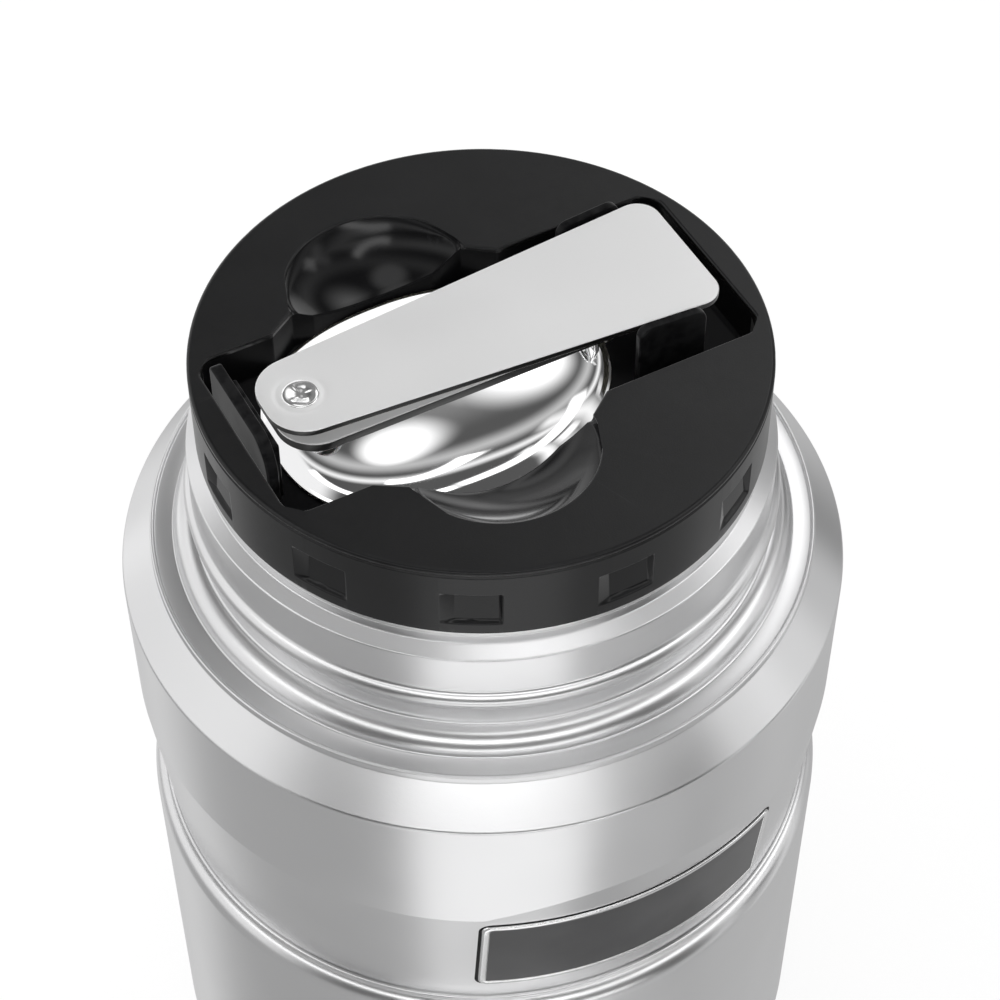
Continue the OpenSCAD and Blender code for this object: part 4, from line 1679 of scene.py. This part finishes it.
    def snap_tab(self, name: str, side: int) -> bpy.types.Object:
        """Snap tab beside the handle.

        Args:
            name: Name of the object.
            side: 1 behind the handle, -1 in front of it.

        Returns:
            The tab.
        """
        x, half, high, r, thick, gap = 20.5, 4.5, 4.0, 1.6, 1.1, 0.35
        floor, tilt = self.floor - self.top, BLADE.tilt()
        front = [(-half, floor), (half, floor)]
        front += arc((half - r, high - r), r, r, 0, 90, 8) + arc((r - half, high - r), r, r, 90, 180, 8)
        y = BLADE.narrow + (x + BLADE.half) * math.tan(tilt) + gap / math.cos(tilt)
        upright = Matrix(((1, 0, 0, 0), (0, 0, -1, thick if side > 0 else 0), (0, 1, 0, 0), (0, 0, 0, 1)))
        place = Matrix.Translation((x, side * y, self.top)) @ (Matrix.Rotation(side * tilt, 4, "Z") @ upright)
        return shifted(plate(name, front, 0.0, thick, 0.22), place)

    def build(self, shop: Workshop) -> None:
        """Builds every piece of the stopper.

        Args:
            shop: Where the pieces are dressed.
        """
        tray = shop.fit(self.tray(), TRAY, Rides.STOPPER, ["spoon_tray"])
        # The second slot is the darker, duller plastic that paints the shade in the recess.
        tray.data.materials.append(shop.finish(TAB_SHADE_PLASTIC))
        unseen = [tray, shop.fit(self.cap(), CAP, Rides.STOPPER, ["stopper_cap"])]
        raised = [*self.end_lip(), self.snap_tab("snap_tab_rear", 1), self.snap_tab("snap_tab_front", -1)]
        unseen += [shop.fit(piece, TAB_SHADE_PLASTIC, Rides.STOPPER) for piece in raised]
        for piece in unseen:
            piece.visible_glossy = False
        shop.fit(turned_solid("plug_skin", self.plug()), PLUG, Rides.STOPPER, ["plug_body"])
        thread = Thread(self.plug_r - 0.2, self.flange[2], self.thread).build("plug_thread")
        shop.fit(thread, PLUG, Rides.STOPPER)
        bottom = turned_disc("plug_disc", self.bottom())
        shop.fit(bottom, PLUG, Rides.STOPPER, ["plug_bottom"])
        seal = turned_solid("seal_ring_skin", self.seal_section())
        shop.fit(seal, SILICONE, Rides.SEAL, ["seal_ring"])
        shop.repaint("foam_insulation", FOAM)


# --------------------------------------------------------------------------- the spoon


@dataclass
class Spoon:
    """Folding spoon: bowl with its neck, link, handle, rivets and washers.

    fuller and blunt shape the bowl's -X end: the power of its curve and its share of the length.
    upright is the normal's rise under which a plate's face counts as its cut edge; those faces take a
    near-black steel that paints the shade in the gaps between the plates. dimple is the radius, width and
    depth of the ring pressed round the handle's rivet.
    """

    bowl_x: float = -6.0
    bowl_a: float = 22.35
    bowl_b: float = 16.85
    rim: float = 127.7
    crown: float = 134.0
    skirt: float = 128.2
    flange: float = 0.38
    bend: float = math.radians(80)
    fuller: float = 2.4
    blunt: float = 0.967
    sheet: float = 1.0
    pivot: float = 22.0
    rivet: float = -23.9
    rivet_r: float = 1.5
    neck: Point2 = (132.8, 133.9)
    neck_half: float = 4.2
    neck_root: float = 2.8
    neck_rise: float = 6.5
    neck_flare: float = 3.0
    neck_round: float = 0.22
    link: Point2 = (134.3, 135.7)
    handle: Point2 = (136.6, 137.5)
    head_r: float = 2.2
    foot_r: float = 2.8
    washer: Point2 = (1.55, 3.2)
    upright: float = 0.4
    dimple: Point3 = (2.9, 0.35, 0.06)

    def height(self, x: float, y: float) -> float:
        """Height of the domed bowl over a point."""
        inside = max(0.0, 1 - (x / self.bowl_a) ** 2 - (y / self.bowl_b) ** 2)
        return self.skirt + (self.crown - self.skirt) * math.sqrt(inside)

    def bowl_line(self, shift: float) -> list[Point2]:
        """Profile of one face of the bowl's sheet, from beside its pole to its edge.

        Args:
            shift: How far it lies inside the outer face.

        Returns:
            (share of the half width, height) points.
        """
        b, up, steps = self.bowl_b - shift, self.crown - shift - self.skirt, 44
        bends = [self.bend * k / steps for k in range(1, steps + 1)]
        line = [((b - self.flange) * math.sin(a), self.skirt + up * math.cos(a)) for a in bends]
        if shift:
            line += [(b - 0.3, self.skirt + 0.3), (b - 0.1, self.rim + 0.2), (b, self.rim)]
        else:
            line += filleted([(*line[-1], 0), (b - self.flange + 0.12, self.skirt + 0.35, 0.35),
                              (b - 0.02, self.skirt + 0.05, 0.16), (b, self.rim, 0.12),
                              (b - 0.25, self.rim, 0)], 6)[1:]
        return [(u / b, z) for u, z in line]

    def bowl(self) -> bpy.types.Object:
        """Domed bowl as a pressed sheet with a short upright edge.

        Returns:
            The bowl.
        """
        work = bmesh.new()
        count, x, power = 240, self.bowl_x, 2 / self.fuller
        edges = []
        for shift in (0.0, self.sheet):
            a, b = self.bowl_a - shift, self.bowl_b - shift
            pole = work.verts.new((x, 0, self.crown - shift))
            line = self.bowl_line(shift)
            columns = []
            for c, s in circle((0, 0), 1, count):
                if c < 0:
                    c, s = -self.blunt * (-c) ** power, math.copysign(abs(s) ** power, s)
                columns.append([pole] + [work.verts.new((x + a * u * c, b * u * s, z)) for u, z in line])
            skin(work, [*columns, columns[0]], closed=False)
            edges.append([column[-1] for column in columns])
        skin(work, edges)
        return finish_solid("spoon_bowl_skin", work)

    def neck_section(self, x: float, start: float) -> list[Point3]:
        """Closed section of the neck.

        Args:
            x: Place along the spoon.
            start: Place at which the neck leaves the bowl.

        Returns:
            The section's points.
        """
        (low, high), end = self.neck, self.neck_half
        along, tip = x - start, self.pivot + end - x
        flare = max(0.0, 1 - along / self.neck_flare)
        half = self.neck_root + (end - self.neck_root) * smooth((along - 1) / 4) + 0.5 * flare**2
        if tip < end:
            half = min(half, math.sqrt(max(0.01, end**2 - (end - tip) ** 2)))
        rise = smooth(along / self.neck_rise)
        body = self.height(min(x - self.bowl_x, self.bowl_a * 0.985), 0) - 0.3
        row = []
        for v in (math.cos(math.pi * i / 16) for i in range(17)):
            y = half * v
            dome = body - 0.05 * y * y
            edge = self.neck_round * (1 - math.sqrt(max(0.0, 1 - abs(v) ** 12)))
            row.append((x, y, dome + (high - dome) * rise - edge))
        shares = [0.96 if abs(y) < half * 0.99 else 0.6 for _, y, _ in row]
        under = [(x, y, z - (high - low) * share) for (x, y, z), share in zip(row, shares)]
        return row + under[::-1]

    def neck_plate(self) -> bpy.types.Object:
        """Neck that flares out of the bowl and carries the hidden rivet.

        Returns:
            The neck.
        """
        work = bmesh.new()
        start, count = self.bowl_x + self.bowl_a - 3.6, 46
        first, last = start - 1.5, self.pivot + 5.4
        places = [first + (last - first) * (k / count) for k in range(count + 1)]
        rows = [[work.verts.new(point) for point in self.neck_section(x, start)] for x in places]
        skin(work, rows)
        work.faces.new(rows[0])
        work.faces.new(rows[-1][::-1])
        return finish_solid("spoon_neck", work)

    def turned_at(self, x: float, name: str, outline: Sequence[Point2]) -> bpy.types.Object:
        """Turned rivet that stands at a place along the spoon."""
        return shifted(turned_disc(name, outline, 64), Matrix.Translation((x, 0, 0)))

    def head(self) -> bpy.types.Object:
        """Riveted head with its dimple, slightly uneven from the hammer.

        Returns:
            The head.
        """
        z, r = self.handle[1], self.head_r
        base = [(r + 0.05, z - 0.05), (r, z + 0.06), (r - 0.12, z + 0.16), (r - 0.4, z + 0.2),
                (1.45, z + 0.18), (1.1, z + 0.1), (0.75, z + 0.02), (0.35, z - 0.02)]

        def column(angle: float) -> list[Point2]:
            """Profile of the head at an angle, with its facets."""
            facet = 0.07 * abs(math.sin(1.5 * angle + 0.5)) + 0.02 * math.sin(4 * angle)
            return [(u, h - (facet if 0.5 < u < 1.9 else 0)) for u, h in base] + [(AXIS, z - 0.02)]

        return shifted(lathe("handle_rivet_head", column, 72), Matrix.Translation((self.rivet, 0, 0)))

    def shank(self, low: float, end: Sequence[Point3]) -> list[Point2]:
        """Profile of a rivet's lower head and shank.

        Args:
            low: Its lowest height.
            end: The corners of its upper end, up to the axis.

        Returns:
            The profile.
        """
        foot, r, top = self.foot_r, self.rivet_r, low + 0.6
        return filleted([(AXIS, low, 0), (foot, low, 0.2), (foot, top, 0.15), (r, top, 0.05), *end], 4)

    def ring(self, name: str, low: float, high: float) -> bpy.types.Object:
        """Washer between two heights.

        Args:
            name: Name of the object.
            low: Its lower face.
            high: Its upper face.

        Returns:
            The washer, round the z axis.
        """
        (inner, outer), middle = self.washer, (low + high) / 2
        return turned_solid(name, filleted([
            (inner, middle, 0), (inner, low, 0.05), (outer, low, 0.1), (outer, high, 0.1),
            (inner, high, 0.05), (inner, middle + 0.01, 0)], 3), 64)

    def relief(self, x: float, y: float) -> float:
        """Height of the pressed ring round the handle's rivet."""
        radius, wide, deep = self.dimple
        return -deep * math.exp(-((math.hypot(x - self.rivet, y) - radius) / wide) ** 2)

    def build(self, shop: Workshop) -> None:
        """Builds every piece of the spoon.

        Args:
            shop: Where the pieces are dressed.
        """
        shop.fit(self.bowl(), POLISHED, Rides.BOWL, ["spoon_bowl"])
        shop.fit(self.neck_plate(), POLISHED, Rides.BOWL)
        bore = self.rivet_r + 0.05
        holes = [((self.rivet, 0.0), bore), ((self.pivot, 0.0), bore)]
        bar = dense_loop(bar_outline(self.rivet - 4.1, 7.0, 5.0, self.pivot + 4.1, 7.0, 5.0), 4.0)
        link = plate("spoon_link_skin", bar, *self.link, 0.22, holes)
        shop.fit(link, LINK, Rides.LINK, ["spoon_link"])
        bar = dense_loop(bar_outline(-BLADE.half, BLADE.narrow, 5.0, BLADE.half, BLADE.wide, 3.0), 4.0)
        handle = plate("spoon_handle_skin", bar, *self.handle, 0.16, holes[:1], self.relief,
                       (2.2, 2.4, 2.6, 2.8, 3.0, 3.2, 3.5, 4.0))
        shop.fit(handle, HANDLE, Rides.HANDLE, ["spoon_handle"])
        # The side faces take the near-black steel, which paints the shade in the gaps between the plates.
        for piece in (link, handle):
            piece.data.materials.append(shop.finish(EDGE_SHADE_STEEL))
            for face in piece.data.polygons:
                face.material_index = int(abs(face.normal.z) < self.upright)
            piece.visible_glossy = False
        self.fasteners(shop)

    def fasteners(self, shop: Workshop) -> None:
        """Builds the rivets and washers.

        Args:
            shop: Where the pieces are dressed.
        """
        under, top, r, foot = 0.65, self.handle[1], self.rivet_r, self.foot_r
        shop.fit(self.head(), RIVET, Rides.HANDLE)
        line = self.shank(self.link[0] - under, [(r, top + 0.05, 0), (AXIS, top - 0.2, 0)])
        shank = self.turned_at(self.rivet, "handle_rivet_shank", line)
        shop.fit(shank, RIVET, Rides.HANDLE, ["handle_rivet"])
        top = self.link[1] + 0.55
        line = self.shank(self.neck[0] - under, [
            (r, top - 0.5, 0.05), (foot, top - 0.5, 0.15), (foot, top, 0.2), (AXIS, top, 0)])
        rivet = self.turned_at(self.pivot, "link_rivet_skin", line)
        shop.fit(rivet, RIVET, Rides.BOWL, ["link_rivet"])
        for node, slot, body, x, low, high in (
                ("link_washer", "washer_white", Rides.BOWL, self.pivot, self.neck[1], self.link[0] - 0.05),
                ("handle_washer", "washer_clear", Rides.HANDLE, self.rivet, self.link[1] + 0.05,
                 self.handle[0])):
            washer = shifted(self.ring(node + "_ring", low, high), Matrix.Translation((x, 0, 0)))
            shop.fit(washer, NYLON, body, [node])


# --------------------------------------------------------------------------- the studio


@dataclass(frozen=True)
class Sky:
    """Direction of a reflected ray, as the world's nodes give it; angles are in degrees."""

    place: bpy.types.NodeSocket
    azimuth: bpy.types.NodeSocket
    rise: bpy.types.NodeSocket
    heading: float


@dataclass(frozen=True)
class Panel:
    """One soft light panel far off, seen only in reflections.

    Angles are in degrees; azimuth is counted from the camera's side, positive to its right.
    """

    azimuth: float
    elevation: float
    width: float
    height: float
    strength: float
    soft: float

    def light(self, wire: Wire, sky: Sky) -> bpy.types.NodeSocket:
        """Paints the panel.

        Args:
            wire: The world's tree.
            sky: The direction.

        Returns:
            Its strength in that direction.
        """
        aside = wire.math("SUBTRACT", sky.azimuth, sky.heading + self.azimuth)
        aside = wire.math("WRAP", aside, 180.0, -180.0)
        above = wire.math("SUBTRACT", sky.rise, self.elevation)
        masks = []
        for off, half, soft in ((aside, self.width / 2, self.soft), (above, self.height / 2, self.soft / 2)):
            masks.append(wire.span(wire.math("ABSOLUTE", off), half + soft, half - soft))
        return wire.math("MULTIPLY", wire.math("MULTIPLY", *masks), self.strength)


@dataclass(frozen=True)
class Hoop:
    """One round light or hoop of light far off, seen only in reflections; a radius of 0 makes a disc."""

    azimuth: float
    elevation: float
    radius: float
    width: float
    strength: float
    soft: float

    def light(self, wire: Wire, sky: Sky) -> bpy.types.NodeSocket:
        """Paints the hoop.

        Args:
            wire: The world's tree.
            sky: The direction.

        Returns:
            Its strength in that direction.
        """
        a, e = math.radians(sky.heading + self.azimuth), math.radians(self.elevation)
        centre = (math.cos(a) * math.cos(e), math.sin(a) * math.cos(e), math.sin(e))
        near = wire.node("VectorMath", {0: sky.place, 1: centre}, operation="DOT_PRODUCT").outputs["Value"]
        off = wire.math("SUBTRACT", wire.math("DEGREES", wire.math("ARCCOSINE", near)), self.radius)
        mask = wire.span(wire.math("ABSOLUTE", off), self.width / 2 + self.soft, self.width / 2 - self.soft)
        return wire.math("MULTIPLY", mask, self.strength)


@dataclass
class Studio:
    """Floor, soft light, reflections and camera."""

    lens: float = 94.33
    spot: Point3 = (-102.25, -194.93, 361.5)
    tilt: Point3 = (40.661, 0.054, -28.329)
    heading: float = -117.68
    ambient: float = 0.55
    key_power: float = 0.9
    reflected: float = 0.1
    floor_size: float = 2500.0
    floor_tone: float = 0.86
    floor_glow: float = 1.12
    floor_share: float = 0.75
    panels: tuple[Panel, ...] = (
        Panel(5, -50, 61, 40, 1.18, 4),
        Panel(10, -12, 60, 9, 2.8, 4),
        Panel(4, 31, 60, 13, 3.0, 4),
        Panel(30, 70, 96, 6, 3.6, 4),
        Panel(84, 10, 16, 20, 1.2, 6),
        Panel(116, -6, 10, 24, 0.8, 6),
        Panel(-126, -10, 16, 20, 1.15, 6),
        Panel(100, 0, 14, 104, 0.97, 8),
        Panel(70, 4, 8, 80, 1.1, 4),
        Panel(56, -46, 40, 44, 0.46, 8),
        Panel(76, 33, 78, 14, 2.2, 5),
        Panel(-55, 33, 60, 12, 2.1, 4),
        Panel(-95, 10, 84, 50, 0.92, 12),
        Panel(-130, -46, 44, 44, 0.72, 10),
        Panel(-160, 0, 60, 50, 0.9, 10),
        Panel(-145, 30, 70, 8, 1.5, 4),
        Panel(180, 0, 76, 32, 1.15, 6),
        Panel(-90, -50, 160, 70, 0.34, 14),
        Panel(128, -50, 110, 70, 0.46, 14),
        Panel(-172, -54, 40, 30, 0.9, 12),
    )
    hoops: tuple[Hoop, ...] = (
        Hoop(180, 49, 0, 44, 0.14, 8),
        Hoop(157, 46, 0, 20, 2.6, 12),
        Hoop(180, 49, 43.5, 8, 0.5, 5),
        Hoop(180, 49, 59, 6, 1.0, 4),
        Hoop(-155, 78, 0, 24, 1.3, 5),
    )

    def camera(self) -> None:
        """Places the camera."""
        data = bpy.data.cameras.new("camera")
        data.sensor_fit = "AUTO"
        data.sensor_width = 36.0
        data.lens = self.lens
        data.clip_start = 0.01
        data.clip_end = 20.0
        made = bpy.data.objects.new("camera", data)
        made.location = [v * MM for v in self.spot]
        made.rotation_euler = [math.radians(a) for a in self.tilt]
        bpy.context.scene.collection.objects.link(made)
        bpy.context.scene.camera = made

    def world(self) -> None:
        """Makes the world: white to the camera, even for diffuse light, panels in reflections."""
        world = bpy.data.worlds.new("studio")
        bpy.context.scene.world = world
        world.use_nodes = True
        world.node_tree.nodes.clear()
        wire = Wire(world.node_tree)
        place = wire.node("TexCoord").outputs["Generated"]
        x, y, z = wire.node("SeparateXYZ", {0: place}).outputs
        azimuth = wire.math("DEGREES", wire.math("ARCTAN2", y, x))
        sky = Sky(place, azimuth, wire.math("DEGREES", wire.math("ARCSINE", z)), self.heading)
        total, *others = [piece.light(wire, sky) for piece in (*self.panels, *self.hoops)]
        for lit in others:
            total = wire.math("MAXIMUM", total, lit)
        rays = wire.node("LightPath").outputs
        even, mirrored, seen = [wire.node("Background", {0: grey(1.0), 1: strength}) for strength in (
            self.ambient, wire.math("ADD", total, self.reflected), 1.0)]
        full = wire.mixed(rays["Is Camera Ray"], wire.mixed(rays["Is Glossy Ray"], even, mirrored), seen)
        wire.link(full.outputs[0], wire.node("OutputWorld").inputs[0])

    def floor(self) -> None:
        """Makes a plain pale floor that keeps the object's shadow."""
        work = bmesh.new()
        bmesh.ops.create_grid(work, x_segments=4, y_segments=4, size=self.floor_size)
        made = finish_mesh("floor", work, weighted=False)
        material = bpy.data.materials.new("pale_floor")
        material.use_nodes = True
        material.node_tree.nodes.clear()
        wire = Wire(material.node_tree)
        shown = wire.math("MULTIPLY", wire.node("LightPath").outputs["Is Camera Ray"], self.floor_share)
        plain = wire.node("BsdfDiffuse", {0: grey(self.floor_tone)})
        lit = wire.mixed(shown, plain, wire.node("Emission", {0: grey(1.0), 1: self.floor_glow}))
        below = wire.node("NewGeometry").outputs["Backfacing"]
        sided = wire.mixed(below, lit, wire.node("BsdfTransparent"))
        wire.link(sided.outputs[0], wire.node("OutputMaterial").inputs[0])
        made.data.materials.append(material)
        made.visible_glossy = False

    def lights(self) -> None:
        """Hangs two large soft boxes that shape the matt surfaces and the shadow."""
        aim = Vector((0, 0, 0.07))
        for name, spot, size, power in (
                ("softbox_over", (-0.1, 0.25, 0.9), 0.9, self.key_power * 3.0),
                ("softbox_front", (-0.35, -0.75, 0.55), 0.7, self.key_power)):
            data = bpy.data.lights.new(name, "AREA")
            data.shape = "SQUARE"
            data.size = size
            data.energy = power
            made = bpy.data.objects.new(name, data)
            made.location = spot
            made.rotation_euler = (aim - Vector(spot)).to_track_quat("-Z", "Y").to_euler()
            made.visible_glossy = False
            made.visible_camera = False
            bpy.context.scene.collection.objects.link(made)

    def build(self) -> None:
        """Sets the whole studio up."""
        bpy.context.scene.view_settings.view_transform = "Standard"
        self.camera()
        self.world()
        self.floor()
        self.lights()


def main() -> None:
    """Builds and dresses every sub-assembly, in order."""
    logging.basicConfig(level=logging.INFO, format="%(name)s: %(message)s")
    shop = Workshop()
    Studio().build()
    shell = OuterShell()
    for part in (shell, Badge(shell), Vessel(), Base(), Stopper(), Spoon()):
        LOG.info("building %s", type(part).__name__)
        part.build(shop)


if __name__ == "__main__":
    main()
